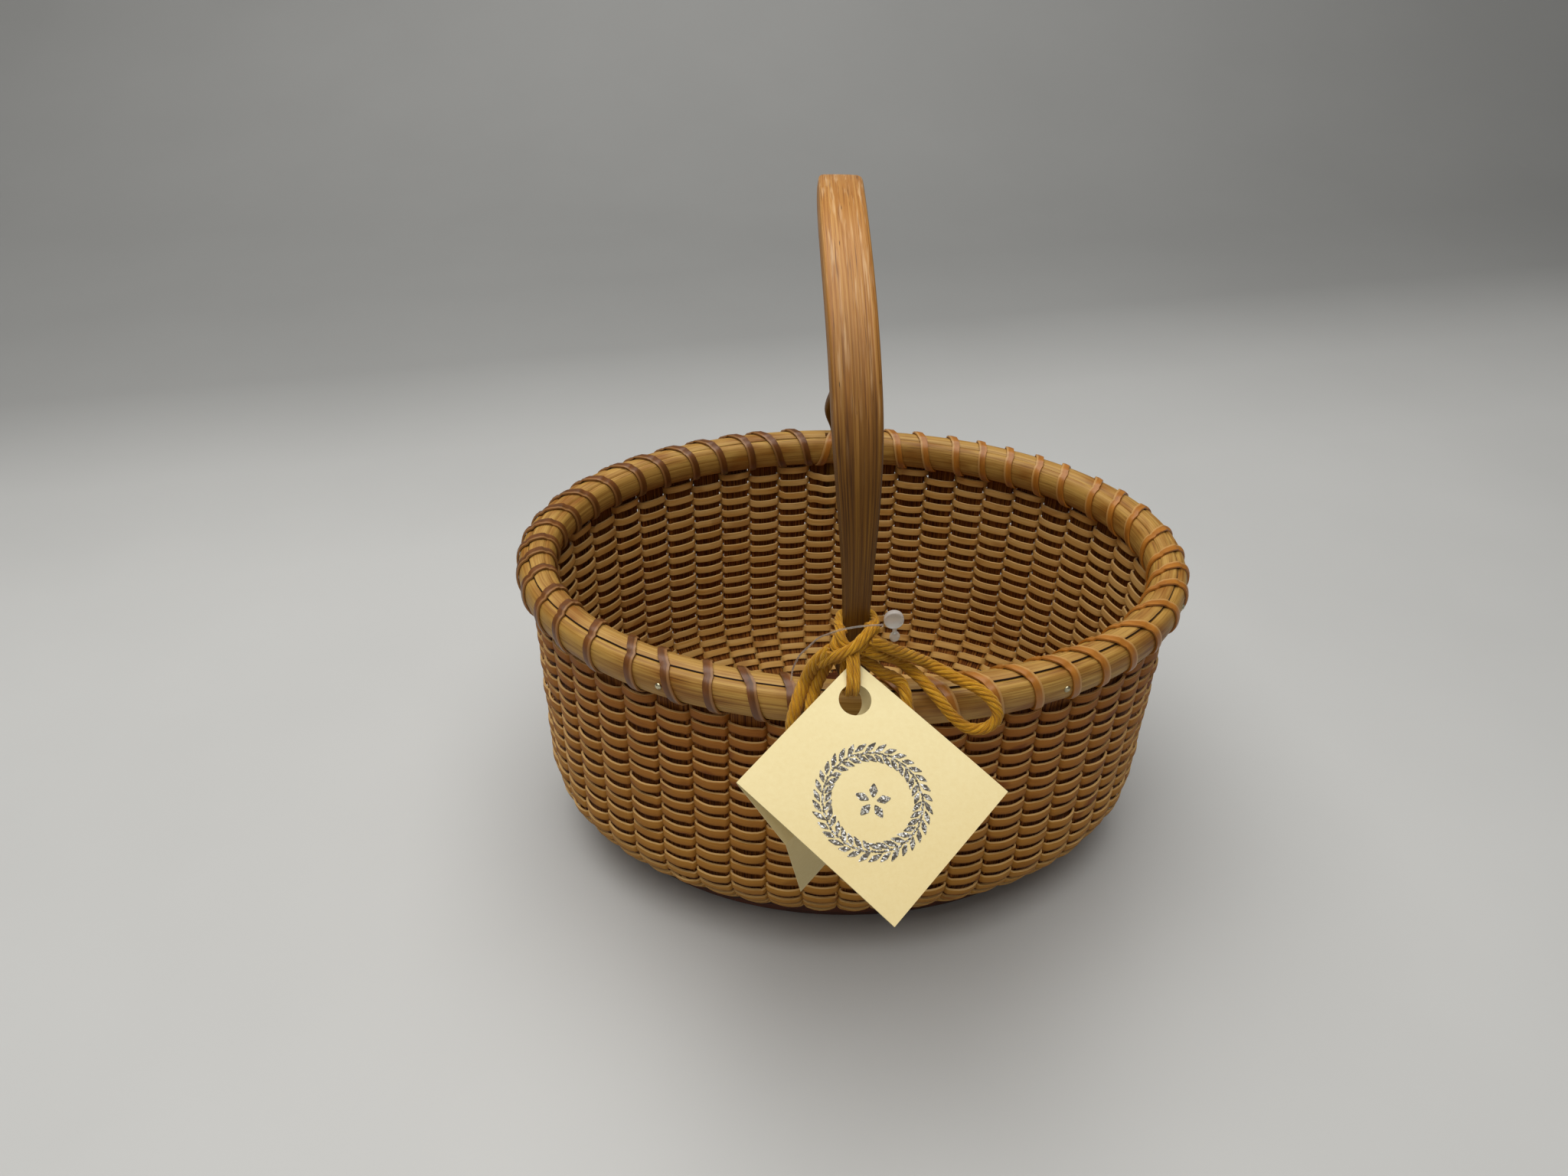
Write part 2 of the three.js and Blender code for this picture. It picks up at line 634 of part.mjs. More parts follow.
// The tag's own directions: along the fold, across the leaf, and out of its face.
const slope = (TAG_SLOPE * Math.PI) / 180;
const turned = (TAG_TURN * Math.PI) / 180;
const rolled = (TAG_ROLL * Math.PI) / 180;
const tagFace = new THREE.Vector3(
  Math.sin(slope) * Math.sin(turned),
  -Math.sin(slope) * Math.cos(turned),
  Math.cos(slope),
);
const tagLevel = new THREE.Vector3(Math.cos(turned), Math.sin(turned), 0);
const tagRise = new THREE.Vector3().crossVectors(tagFace, tagLevel);
const tagFold = tagLevel.clone().multiplyScalar(-Math.cos(rolled));
tagFold.addScaledVector(tagRise, -Math.sin(rolled));
const tagAcross = new THREE.Vector3().crossVectors(tagFace, tagFold);

function onTag(geometry) {
  const basis = new THREE.Matrix4().makeBasis(tagFold, tagAcross, tagFace).setPosition(TAG_CORNER);
  return geometry.applyMatrix4(basis);
}

function frontLeaf() {
  const leaf = new THREE.BoxGeometry(TAG_FOLD_LENGTH, TAG_WIDTH, CARD_THICKNESS);
  leaf.translate(TAG_FOLD_LENGTH / 2, TAG_WIDTH / 2, -CARD_THICKNESS / 2);
  const hole = new THREE.CylinderGeometry(TAG_HOLE_RADIUS, TAG_HOLE_RADIUS, 4 * CARD_THICKNESS, 20);
  hole.rotateX(TURN / 4);
  hole.translate(TAG_HOLE_PLACE[0], TAG_HOLE_PLACE[1], -CARD_THICKNESS / 2);
  return onTag(cut(leaf, [hole]));
}

// The rear leaf hangs open from the fold, and bends again along a crease.
function rearLeaf() {
  const opening = (LEAF_OPENING * Math.PI) / 180;
  const bend = (LEAF_BEND * Math.PI) / 180;
  const first = [Math.cos(opening), -Math.sin(opening)];
  const second = [Math.cos(bend), -Math.sin(bend)];
  const below = -(CARD_THICKNESS + FIT_GAP);
  const start = FIT_GAP;
  const line = [
    [start * first[0], below + start * first[1]],
    [LEAF_CREASE * first[0], below + LEAF_CREASE * first[1]],
  ];
  const flap = TAG_WIDTH - LEAF_CREASE;
  line.push([line[1][0] + flap * second[0], line[1][1] + flap * second[1]]);
  const middleAngle = (opening + bend) / 2;
  const backs = [
    [-Math.sin(opening), -Math.cos(opening)],
    [-Math.sin(middleAngle), -Math.cos(middleAngle)],
    [-Math.sin(bend), -Math.cos(bend)],
  ];
  const shifts = backs.map(([y, z]) => [y * CARD_THICKNESS, z * CARD_THICKNESS]);
  const lower = line.map(([y, z], i) => [y + shifts[i][0], z + shifts[i][1]]);
  const outline = [...line, ...lower.reverse()];
  const shape = new THREE.Shape(outline.map(([y, z]) => new THREE.Vector2(y, z)));
  const leaf = new THREE.ExtrudeGeometry(shape, { depth: TAG_FOLD_LENGTH, steps: 1, bevelEnabled: false });
  bent(leaf, (x, y, z) => new THREE.Vector3(z, x, y));
  const hole = new THREE.CylinderGeometry(TAG_HOLE_RADIUS, TAG_HOLE_RADIUS, 4 * CARD_THICKNESS, 20);
  hole.rotateX(TURN / 4);
  hole.translate(TAG_HOLE_PLACE[0], TAG_HOLE_PLACE[1], 0);
  hole.rotateX(-opening);
  hole.translate(0, 0, below);
  return onTag(cut(leaf, [hole]));
}

// Clear fastener: a button head with a small paddle below, on the end of its filament.
const FASTENER_PLACE = new THREE.Vector3(3.2, -76.4, 129.6);

function fastenerHead() {
  const radius = FASTENER_HEAD_RADIUS;
  const head = new THREE.CylinderGeometry(radius, radius, FASTENER_HEAD_THICKNESS, 16);
  const paddle = new THREE.BoxGeometry(2, 0.8, 3.6);
  paddle.translate(0.5, 0, -FASTENER_HEAD_RADIUS - 1.2);
  const geometry = joined([head, paddle]);
  geometry.translate(...FASTENER_PLACE.toArray());
  return geometry;
}

const finishes = {
  base: { color: 0x5a2a16, roughness: 0.4, metalness: 0 },
  cane: { color: 0x9a7434, roughness: 0.6, metalness: 0 },
  stave: { color: 0x5f3d1c, roughness: 0.6, metalness: 0 },
  hoop: { color: 0x9c7a48, roughness: 0.55, metalness: 0 },
  cover: { color: 0xb08f5c, roughness: 0.55, metalness: 0 },
  lashLight: { color: 0xa8672c, roughness: 0.35, metalness: 0 },
  lashDark: { color: 0x6b3a20, roughness: 0.35, metalness: 0 },
  handle: { color: 0xa8763a, roughness: 0.5, metalness: 0 },
  brass: { color: 0xb9a57a, roughness: 0.35, metalness: 1 },
  card: { color: 0xf0e2ae, roughness: 0.8, metalness: 0 },
  yarn: { color: 0xc98a1c, roughness: 0.9, metalness: 0 },
  clear: { color: 0xdfe4e6, roughness: 0.2, metalness: 0 },
};

const basket = new THREE.Group();

function add(name, geometry, finish) {
  const shape = closed(geometry);
  shape.computeVertexNormals();
  const mesh = new THREE.Mesh(shape, new THREE.MeshStandardMaterial(finishes[finish]));
  mesh.name = name;
  basket.add(mesh);
}

add('base', baseBoard(), 'base');
add('woven_wall', wovenWall(), 'cane');
for (let first = 0; first < STAVE_COUNT; first += 2) {
  add(`staves_${String(first / 2 + 1).padStart(2, '0')}`, stavePair(first), 'stave');
}
add('inner_hoop', cut(ovalRing(hoopSection(-1), HOOP_SEGMENTS), [tailRoom(-1), tailRoom(1)]), 'hoop');
add('outer_hoop', cut(ovalRing(hoopSection(1), HOOP_SEGMENTS), tackShares.map(tackHole)), 'hoop');
const footHalf = (TAIL_WIDTH / 2 + 1) / OVAL_LENGTH;
add('rim_cover_left', coverStrip(footShare(1) + footHalf, footShare(-1) - footHalf), 'cover');
add('rim_cover_right', coverStrip(footShare(-1) + footHalf, 1 + footShare(1) - footHalf), 'cover');
add('lashing_light', lashing(37, 23), 'lashLight');
add('lashing_dark', lashing(13, 22), 'lashDark');
add('handle', handle(), 'handle');
tackShares.forEach((share, i) => add(`tack_${i + 1}`, tack(share), 'brass'));
add('tag_front_leaf', frontLeaf(), 'card');
add('tag_rear_leaf', rearLeaf(), 'card');
add('yarn_knot', knot(0), 'yarn');
add('yarn_wrap', strand(WRAP, YARN_STEP), 'yarn');
add('yarn_bow_right', strand(BOW_RIGHT, YARN_STEP), 'yarn');
add('yarn_bow_left', strand(BOW_LEFT, YARN_STEP), 'yarn');
add('yarn_tail_right', strand(TAIL_RIGHT, YARN_STEP), 'yarn');
add('tag_tie', strand(TAG_TIE, YARN_STEP / 2), 'yarn');
add('fastener_head', fastenerHead(), 'clear');
add('fastener_filament', cord(FILAMENT, FILAMENT_DIAMETER, YARN_STEP), 'clear');

export default basket;
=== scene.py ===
"""A small oval basket of woven cane, with a lashed rim, a carved handle and a card tag on yarn."""

import math

import bmesh
import bpy
import numpy as np
from mathutils import Matrix, Vector


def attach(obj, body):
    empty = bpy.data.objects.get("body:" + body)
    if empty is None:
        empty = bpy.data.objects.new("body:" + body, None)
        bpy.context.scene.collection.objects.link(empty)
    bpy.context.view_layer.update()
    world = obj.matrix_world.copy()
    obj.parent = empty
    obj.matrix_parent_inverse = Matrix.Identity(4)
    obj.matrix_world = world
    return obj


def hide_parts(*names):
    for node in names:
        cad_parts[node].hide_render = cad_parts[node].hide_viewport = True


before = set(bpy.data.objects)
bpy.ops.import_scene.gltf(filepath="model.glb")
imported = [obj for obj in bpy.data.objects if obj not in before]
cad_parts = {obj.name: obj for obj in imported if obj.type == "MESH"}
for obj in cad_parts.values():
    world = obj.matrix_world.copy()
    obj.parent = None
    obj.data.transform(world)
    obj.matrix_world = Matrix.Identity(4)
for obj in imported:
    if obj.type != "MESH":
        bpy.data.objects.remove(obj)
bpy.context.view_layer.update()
scene = bpy.context.scene
scene.view_settings.view_transform = "Standard"

MM = 0.001
TURN = 2 * math.pi
UP = np.array([0.0, 0.0, 1.0])

# The camera stands where the photograph was taken from: its place in millimetres, its angles in degrees.
EYE = (-30.13, -301.41, 292.55)
LOOK_DOWN, LOOK_RIGHT, ROLL = 34.3675, 1.8235, 1.0939
FOCAL_PIXELS, PHOTO_PIXELS = 1535.49, 2048
SENSOR_WIDTH = 36


def new_object(name, data):
    made = bpy.data.objects.new(name, data)
    scene.collection.objects.link(made)
    return made


def make_camera():
    down, yaw, roll = (math.radians(a) for a in (LOOK_DOWN, LOOK_RIGHT, ROLL))
    ahead = Vector((math.sin(yaw) * math.cos(down), math.cos(yaw) * math.cos(down), -math.sin(down)))
    right = Vector((math.cos(yaw), -math.sin(yaw), 0))
    data = bpy.data.cameras.new("camera")
    data.sensor_width = SENSOR_WIDTH
    data.lens = FOCAL_PIXELS / PHOTO_PIXELS * SENSOR_WIDTH
    data.clip_start = 0.01
    camera = new_object("camera", data)
    level = Matrix((right, right.cross(ahead), -ahead)).transposed().to_4x4()
    camera.matrix_world = Matrix.Translation(Vector(EYE) * MM) @ level @ Matrix.Rotation(roll, 4, "Z")
    scene.camera = camera


make_camera()

# Materials
WHITE = "#ffffff"
BLACK = "#000000"


def colour(code):
    """An sRGB hex code as the linear colour that a shader takes."""
    parts = [int(code[i:i + 2], 16) / 255 for i in (1, 3, 5)]
    return (*[c / 12.92 if c <= 0.04045 else ((c + 0.055) / 1.055) ** 2.4 for c in parts], 1)


class Finish:
    """A procedural material for one real finish. Its lengths are in millimetres."""

    def __init__(self, name, **shader_values):
        self.material = bpy.data.materials.new(name)
        self.material.use_nodes = True
        self.tree = self.material.node_tree
        self.shader = self.tree.nodes["Principled BSDF"]
        for socket, value in shader_values.items():
            self.shader.inputs[socket.replace("_", " ")].default_value = value
        source = self.add("TexCoord")
        self.uv, self.place = source.outputs["UV"], source.outputs["Object"]

    def add(self, kind, inputs=None, **settings):
        """A node with its settings, and its inputs set to values or linked to sockets."""
        node = self.tree.nodes.new("ShaderNode" + kind)
        for name, value in settings.items():
            setattr(node, name, value)
        for name, value in (inputs or {}).items():
            if isinstance(value, bpy.types.NodeSocket):
                self.tree.links.new(value, node.inputs[name])
            else:
                node.inputs[name].default_value = value
        return node

    def ramp(self, factor, *stops):
        """A colour ramp through (position, hex) stops."""
        node = self.add("ValToRGB", {"Fac": factor})
        elements = node.color_ramp.elements
        while len(elements) < len(stops):
            elements.new(0.5)
        for element, (position, code) in zip(elements, stops):
            element.position = position
            element.color = colour(code)
        return node.outputs["Color"]

    def mix(self, factor, a, b, blend="MIX"):
        return self.add("Mix", {0: factor, 6: a, 7: b}, data_type="RGBA", blend_type=blend).outputs[2]

    def times(self, a, b, share=1.0):
        """Colour a multiplied by colour b, as much as the share says."""
        return self.mix(share, a, b, "MULTIPLY")

    def math(self, operation, *values, clamp=False):
        return self.add("Math", dict(enumerate(values)), operation=operation, use_clamp=clamp).outputs[0]

    def share(self, source, axis, whole, start=0.0, clamp=False):
        """One coordinate of a source in metres, as a share of a whole length, added to a start."""
        value = self.add("SeparateXYZ", {"Vector": source}).outputs[axis]
        return self.math("MULTIPLY_ADD", value, 1 / (whole * MM), start, clamp=clamp)

    def noise(self, source, scale, detail, roughness=0.5):
        values = {"Vector": source, "Scale": scale, "Detail": detail, "Roughness": roughness}
        return self.add("TexNoise", values).outputs["Fac"]

    def streaks(self, along, across, detail=4.0, roughness=0.6, source=None):
        """Noise drawn out along a strand, or along X for a source in metres."""
        scale = (1000 / along, 1000 / across, 1000 / across)
        stretch = self.add("Mapping", {"Vector": self.uv if source is None else source, "Scale": scale})
        return self.noise(stretch.outputs[0], 1.0, detail, roughness)

    def done(self, tone=None, relief=None, depth=0.0):
        """The finished material: its colour, and its relief with a depth."""
        if tone is not None:
            self.tree.links.new(tone, self.shader.inputs["Base Color"])
        if relief is not None:
            raised = self.add("Bump", {"Height": relief, "Distance": depth * MM, "Strength": 1.0})
            self.tree.links.new(raised.outputs[0], self.shader.inputs["Normal"])
        return self.material


def weaver_cane():
    """Split rattan, woven damp and left to age: honey brown, its cut edges pale, the upper one with a painted
    highlight and the lower one in painted shade, an inner face paler partly as its own tone and partly as
    painted light, and darker and olive lengths."""
    m = Finish("aged_rattan_weaver", Roughness=0.6, IOR=1.5, Specular_IOR_Level=0.18)
    lengths = m.streaks(34, 3.2, detail=2.0)
    # The cane darkens from the base to the rim, 98 mm up, sooner in some lengths than in others.
    age = m.math("MULTIPLY_ADD", lengths, 0.5, m.share(m.place, "Z", 98, -0.25), clamp=True)
    ground = m.ramp(age, (0.0, "#dcaa50"), (0.22, "#d49c42"), (0.45, "#cb8f3a"), (0.75, "#c28233"),
                    (1.0, "#b27026"))
    patch = m.ramp(m.streaks(15, 9, detail=1.0), (0.3, "#b0834c"), (0.38, WHITE), (0.62, WHITE),
                   (0.7, "#ddd0a2"))
    # Round the strip, which is 5.93 mm: outer face, lower edge, inner face, upper edge.
    girth = m.share(m.uv, "Y", 5.93)
    # Painted light in part: the inner face is paler than the outer one, partly as the cane's own tone and
    # partly for the light that reaches the basket's inner wall.
    inner = m.ramp(lengths, (0.3, "#e0b062"), (0.5, "#ebc278"), (0.7, "#f4d28c"))
    inner_face = m.ramp(girth, (0.48, BLACK), (0.5, "#f4f4f4"), (0.89, "#f4f4f4"), (0.9, BLACK))
    toned = m.mix(inner_face, m.times(ground, patch, 0.8), m.times(inner, patch, 0.35))
    # Painted shade: the outer face darkens towards the lower edge, which is darkest, under each strip.
    shade = m.ramp(girth, (0.0, "#f4f2ea"), (0.05, "#e4ded0"), (0.33, "#cec3b0"), (0.398, "#8a7458"),
                   (0.5, "#9c8468"), (0.55, "#ece2d4"), (0.86, "#f6f0e6"), (1.0, WHITE))
    # The upper cut edge is pale, with a painted highlight where the light catches it.
    pale_edge_and_highlight = m.ramp(girth, (0.0, "#c8c8c8"), (0.025, BLACK), (0.885, BLACK), (0.9, "#e0e0e0"))
    edged = m.mix(pale_edge_and_highlight, m.times(toned, shade), colour("#efca8a"))
    fibres = m.streaks(9, 0.28, detail=3.0)
    fibre_tone = m.ramp(fibres, (0.25, "#b79f80"), (0.5, "#f1e9de"), (0.75, WHITE))
    return m.done(m.times(edged, fibre_tone, 0.5), fibres, 0.04)


def stave_oak():
    """Thin ribs of oak, stained dark in their pores: fine dark lines run up each rib."""
    m = Finish("dark_oak_rib", Roughness=0.65, IOR=1.5, Specular_IOR_Level=0.12)
    # The ribs' real pitch of about 0.3 mm is drawn at 0.45 mm, so that it shows.
    ribs = m.streaks(60, 0.45, detail=2.0)
    ground = m.ramp(m.share(m.place, "Z", 100, clamp=True), (0.0, "#a26a2c"), (0.5, "#915a22"),
                    (1.0, "#82501e"))
    tone = m.ramp(ribs, (0.32, "#6a5036"), (0.48, "#bfa98f"), (0.62, WHITE))
    return m.done(m.times(ground, tone), ribs, 0.15)


def hoop_oak(name, pale, middle, dark, crack=None):
    """Steam bent oak, planed and oiled: straw brown with long grain lines and short dark pores."""
    m = Finish(name, Roughness=0.5, IOR=1.5, Specular_IOR_Level=0.3)
    grain = m.streaks(70, 0.7, detail=5.0)
    ground = m.ramp(grain, (0.3, dark), (0.46, middle), (0.66, pale))
    pores = m.ramp(m.streaks(12, 0.22, detail=1.0), (0.28, "#5d3f22"), (0.36, WHITE))
    stain = m.ramp(m.streaks(22, 6, detail=2.0), (0.3, "#c9a878"), (0.55, WHITE))
    toned = m.times(m.times(ground, pores, 0.7), stain)
    if crack:
        # Painted shade in the narrow crack between this strip and the hoop beside it, in shares of 10 mm of
        # its girth.
        start, end = crack
        painted_crack_shade = m.ramp(m.share(m.uv, "Y", 10), (start - 0.01, WHITE), (start, "#38210f"),
                       (end, "#38210f"), (end + 0.01, WHITE))
        toned = m.times(toned, painted_crack_shade)
    return m.done(toned, grain, 0.1)


def lashing_cane(name, light, dark, edge):
    """Outer skin of rattan, smooth and waxy, bent wet over the rim: even colour, a paler cut edge on one
    side with a painted highlight spreading from it, and a painted shadow along the other side."""
    m = Finish(name, Roughness=0.36, IOR=1.5, Specular_IOR_Level=0.4)
    ground = m.ramp(m.streaks(7, 2.4, detail=3.0), (0.3, dark), (0.7, light))
    # In shares of 6.7 mm, round a strip of 6.1 mm: inner face, leading edge, outer face, trailing edge.
    girth = m.share(m.uv, "Y", 6.7)
    # The pale cut edge, with a painted highlight that spreads from it onto the outer face.
    pale = m.ramp(girth, (0.38, BLACK), (0.4, "#d0d0d0"), (0.53, "#c0c0c0"), (0.57, BLACK))
    shadow = m.ramp(girth, (0.88, WHITE), (0.92, "#a08468"), (1.0, "#7a5c42"))
    toned = m.times(m.mix(pale, ground, colour(edge)), shadow)
    return m.done(toned, m.streaks(12, 0.35, detail=2.0), 0.03)


def handle_oak():
    """Oak carved with a knife, waxed and smoothed by hands: orange tan with long dark grain, darkened
    towards the feet as painted shade, and rubbed pale ridges that are partly wear and partly a painted
    highlight."""
    m = Finish("waxed_carved_oak", Roughness=0.45, IOR=1.5, Specular_IOR_Level=0.3)
    grain = m.streaks(60, 0.55)
    fine = m.streaks(16, 0.3, detail=3.0)
    high_tone = m.ramp(grain, (0.28, "#83511e"), (0.44, "#a26b2c"), (0.58, "#b27e3e"), (0.74, "#c29354"))
    shaded_foot_tone = m.ramp(grain, (0.3, "#3c2206"), (0.48, "#5e3a0a"), (0.68, "#7c5516"))
    # Painted shade: the feet are dark, and the wood turns pale over 45 mm above them, sooner in some lines of
    # grain.
    level = m.math("MULTIPLY_ADD", m.streaks(22, 1.0, detail=3.0), 0.7, m.share(m.place, "Z", 45, -3.81))
    height = m.add("MapRange", {"Value": level}, interpolation_type="SMOOTHSTEP").outputs[0]
    ground = m.mix(height, shaded_foot_tone, high_tone)
    # Rubbed pale streaks on the upper wood: partly wear and partly a painted highlight.
    rubbed = m.ramp(m.streaks(18, 0.9, detail=2.0), (0.55, BLACK), (0.68, "#c0c0c0"))
    worn_and_highlit = m.mix(m.math("MULTIPLY", rubbed, height), ground, colour("#d5b183"))
    lines = m.ramp(fine, (0.3, "#8a6c4c"), (0.43, WHITE))
    pits = m.ramp(m.streaks(5, 0.45, detail=1.0), (0.2, "#4a2a0e"), (0.25, WHITE))
    toned = m.times(m.times(worn_and_highlit, lines, 0.8), pits)
    return m.done(toned, m.math("MULTIPLY_ADD", fine, 0.5, grain), 0.2)


def base_maple():
    """Turned hardwood board, stained dark and varnished: reddish brown with a wet gloss."""
    m = Finish("varnished_dark_maple", Roughness=0.24, IOR=1.5, Coat_Weight=0.6, Coat_Roughness=0.12)
    grain = m.streaks(40, 2.2, detail=5.0, source=m.place)
    return m.done(m.ramp(grain, (0.3, "#35170b"), (0.5, "#552614"), (0.7, "#6c341b")), grain, 0.04)


def tack_nickel():
    """Small nickelled escutcheon pins: dull silver with a yellow cast and fine scratches."""
    m = Finish("nickelled_pin", Metallic=1.0, Roughness=0.34)
    scuff = m.noise(m.place, 1400.0, 3.0)
    return m.done(m.ramp(scuff, (0.35, "#8d8468"), (0.6, "#d3caa9")), scuff, 0.03)


def tag_card():
    """Uncoated cream card of 0.4 mm: matt, with a barely visible felt of fibres, and darkened towards its
    lower corners by painted shade."""
    m = Finish("cream_card", Roughness=0.82, IOR=1.45)
    felt = m.noise(m.place, 900.0, 5.0, 0.7)
    cloud = m.noise(m.place, 60.0, 2.0)
    ground = m.mix(0.5, m.ramp(felt, (0.3, "#e6d39c"), (0.7, "#efe0ae")),
                   m.ramp(cloud, (0.3, "#e8d6a0"), (0.7, "#edddaa")))
    # Painted shade: the card darkens towards its lower end, where the light falls off.
    painted_low_shade = m.ramp(m.share(m.place, "Z", 120, clamp=True), (0.6, "#efeae2"), (0.8, "#f3efe8"),
                     (0.95, WHITE))
    return m.done(m.times(ground, painted_low_shade), felt, 0.02)


def glitter_ink():
    """Raised glitter ink: coarse silver and graphite flakes set in clear glue, each at its own angle; each
    flake's tone is partly its own colour and partly a painted glint.
    """
    m = Finish("silver_glitter_ink", Metallic=0.25, Roughness=0.5)
    # Flakes of about 0.15 mm are drawn at 0.35 mm, so that they show.
    cells = m.add("TexVoronoi", {"Vector": m.place, "Scale": 2800.0}, feature="F1")
    # Each flake's random tone, from graphite to silver, is partly its own colour and partly a painted glint.
    flake_tone_and_glint = m.add("SeparateColor", {"Color": cells.outputs["Color"]}).outputs[0]
    tone = m.ramp(flake_tone_and_glint, (0.0, "#2e271e"), (0.4, "#50483c"), (0.65, "#7d776b"), (0.85, "#b5b2aa"),
                  (1.0, "#efeeea"))
    return m.done(tone, flake_tone_and_glint, 0.12)


def mustard_yarn():
    """Mercerised cotton in six plies, dyed mustard: a soft sheen on each ply and fine lengthwise
    fibres."""
    m = Finish("mustard_plied_cotton", Roughness=0.75, IOR=1.5, Specular_IOR_Level=0.2,
               Sheen_Weight=0.12, Sheen_Roughness=0.4)
    fibres = m.streaks(3.2, 0.13, detail=3.0, roughness=0.7)
    ground = m.ramp(fibres, (0.28, "#7c4e05"), (0.44, "#b98012"), (0.58, "#dca428"), (0.74, "#fbd46e"))
    shade = m.ramp(m.streaks(16, 3, detail=2.0), (0.3, "#d9c7a6"), (0.6, WHITE))
    return m.done(m.times(ground, shade), fibres, 0.2)


def clear_nylon(name, transmission):
    """Moulded clear nylon: see-through with a milky edge, a wet gloss and faint flow marks."""
    m = Finish(name, Roughness=0.28, IOR=1.36, Transmission_Weight=transmission,
               Base_Color=colour("#f6f3ee"))
    return m.done(relief=m.noise(m.place, 500.0, 2.0), depth=0.02)


CANE = weaver_cane()
RIB = stave_oak()
HOOP = hoop_oak("oiled_bent_oak", "#bb9349", "#a67c38", "#85591f")
COVER = hoop_oak("pale_bent_oak", "#bd9651", "#aa803d", "#8d6127", crack=(0.45, 0.515))
LASH_LIGHT = lashing_cane("orange_rattan_skin", "#b37429", "#8f5617", "#c49c5f")
LASH_DARK = lashing_cane("dark_rattan_skin", "#75441a", "#52300f", "#a27543")
HANDLE = handle_oak()
BASE = base_maple()
TACK = tack_nickel()
CARD = tag_card()
INK = glitter_ink()
YARN = mustard_yarn()
CLEAR = clear_nylon("clear_moulded_nylon", 0.72)
CLEAR_LINE = clear_nylon("clear_drawn_nylon", 0.92)

# The basket's main sizes, in millimetres
HALF_LENGTH = 95
HALF_WIDTH = 70.4
STAVES = 49
STAVE_THICKNESS = 1.4
STAVE_SPACE = 1.5
CORNER_TOP = 30.6
CORNER_INSET = 32.3
CORNER_HEIGHT = 28
WEAVE_INSET = 14.5
GROOVE_DEPTH = 5
RIM_HEIGHT = 105
RIM_TOP = 103.9
HOOP_BOTTOM = 93.9
HOOP_HALF_HEIGHT = 5
HOOP_MIDDLE = HOOP_BOTTOM + HOOP_HALF_HEIGHT
HOOP_SEAT = 1.1
HOOP_FLAT = 1.1
HOOP_THICKNESS = 4.3
WALL_TOP = 92.5
HANDLE_RISE = 101


def lengths_of(line):
    """How far each point of a line is along it."""
    return np.concatenate([[0], np.cumsum(np.linalg.norm(np.diff(line, axis=0), axis=1))])


# Tables of the wall's oval: length along it and the direction that it faces, for each angle
oval_angle = np.linspace(0, TURN, 4001)
oval_length = lengths_of(np.column_stack([HALF_LENGTH * np.cos(oval_angle), HALF_WIDTH * np.sin(oval_angle)]))
oval_facing = np.unwrap(np.arctan2(np.sin(oval_angle) / HALF_WIDTH, np.cos(oval_angle) / HALF_LENGTH))
OVAL = oval_length[-1]


def ease(low, high, value):
    t = np.clip((value - low) / (high - low), 0, 1)
    return t * t * (3 - 2 * t)


def pitch(inset):
    """From one stave to the next, on the oval that lies inset from the wall's."""
    return (OVAL - TURN * inset) / STAVES


def on_oval(share, offset):
    """x, y and the outward direction at shares of the way round, offset outwards from the wall."""
    share, offset = np.broadcast_arrays(np.asarray(share, float), np.asarray(offset, float))
    target = (share % 1) * (OVAL + TURN * offset)
    angle = (share % 1) * TURN
    for _ in range(8):
        reach = np.interp(angle, oval_angle, oval_length) + offset * np.interp(angle, oval_angle, oval_facing)
        speed = np.hypot(HALF_LENGTH * np.sin(angle), HALF_WIDTH * np.cos(angle))
        bend = HALF_LENGTH * HALF_WIDTH / speed ** 3
        angle = np.clip(angle - (reach - target) / (speed * (1 + offset * bend)), 0, TURN)
    facing = np.interp(angle, oval_angle, oval_facing)
    out_x, out_y = np.cos(facing), np.sin(facing)
    x = HALF_LENGTH * np.cos(angle) + offset * out_x
    y = HALF_WIDTH * np.sin(angle) + offset * out_y
    return x, y, out_x, out_y


def standing(share, offset, height):
    """Points at a height, and the level outward direction at each."""
    x, y, ox, oy = on_oval(share, offset)
    return np.column_stack([x, y, height + 0 * x]), np.column_stack([ox, oy, 0 * x])


def on_corner(angle):
    """Inset and height on the wall's lower corner."""
    return CORNER_INSET * (1 - np.cos(angle)), CORNER_TOP - CORNER_HEIGHT * np.sin(angle)


corner_angle = np.linspace(0, math.acos(1 - WEAVE_INSET / CORNER_INSET), 400)
corner_length = lengths_of(np.column_stack(on_corner(corner_angle)))


def down_wall(length, top):
    """Inset, height, and the outward and upward parts of the wall's facing, at lengths below top."""
    length = np.asarray(length, float)
    past_straight = length - (top - CORNER_TOP)
    along = np.clip(past_straight, 0, corner_length[-1])
    angle = np.interp(along, corner_length, corner_angle)
    out = np.cos(angle) / CORNER_INSET
    up = -np.sin(angle) / CORNER_HEIGHT
    size = np.hypot(out, up)
    out, up = out / size, up / size
    # The weave pulls the staves in a little below the rim, and more round the corner.
    drawn = 0.5 * ease(12, 20, RIM_TOP - top + length) + 0.6 * ease(0, 20, along)
    past_corner = np.maximum(past_straight - corner_length[-1], 0)
    inset, level = on_corner(angle)
    inset = inset + drawn * out - past_corner * up
    level = np.where(along > 0, level, top - length) - past_corner * out - drawn * up
    return inset, level, out, up


# The handle leans a little, and its feet part the rim cover and push the weave inwards.
FOOT_X = -2.66
FOOT_LEAN = 0.035
ARCH_DRIFT = 5.3


def handle_x(y, rise):
    return FOOT_X - ARCH_DRIFT * (rise / HANDLE_RISE) ** 3 + FOOT_LEAN * y


FRONT_FOOT = 0.75 + handle_x(-HALF_WIDTH, 0) / OVAL
REAR_FOOT = 0.25 - handle_x(HALF_WIDTH, 0) / OVAL


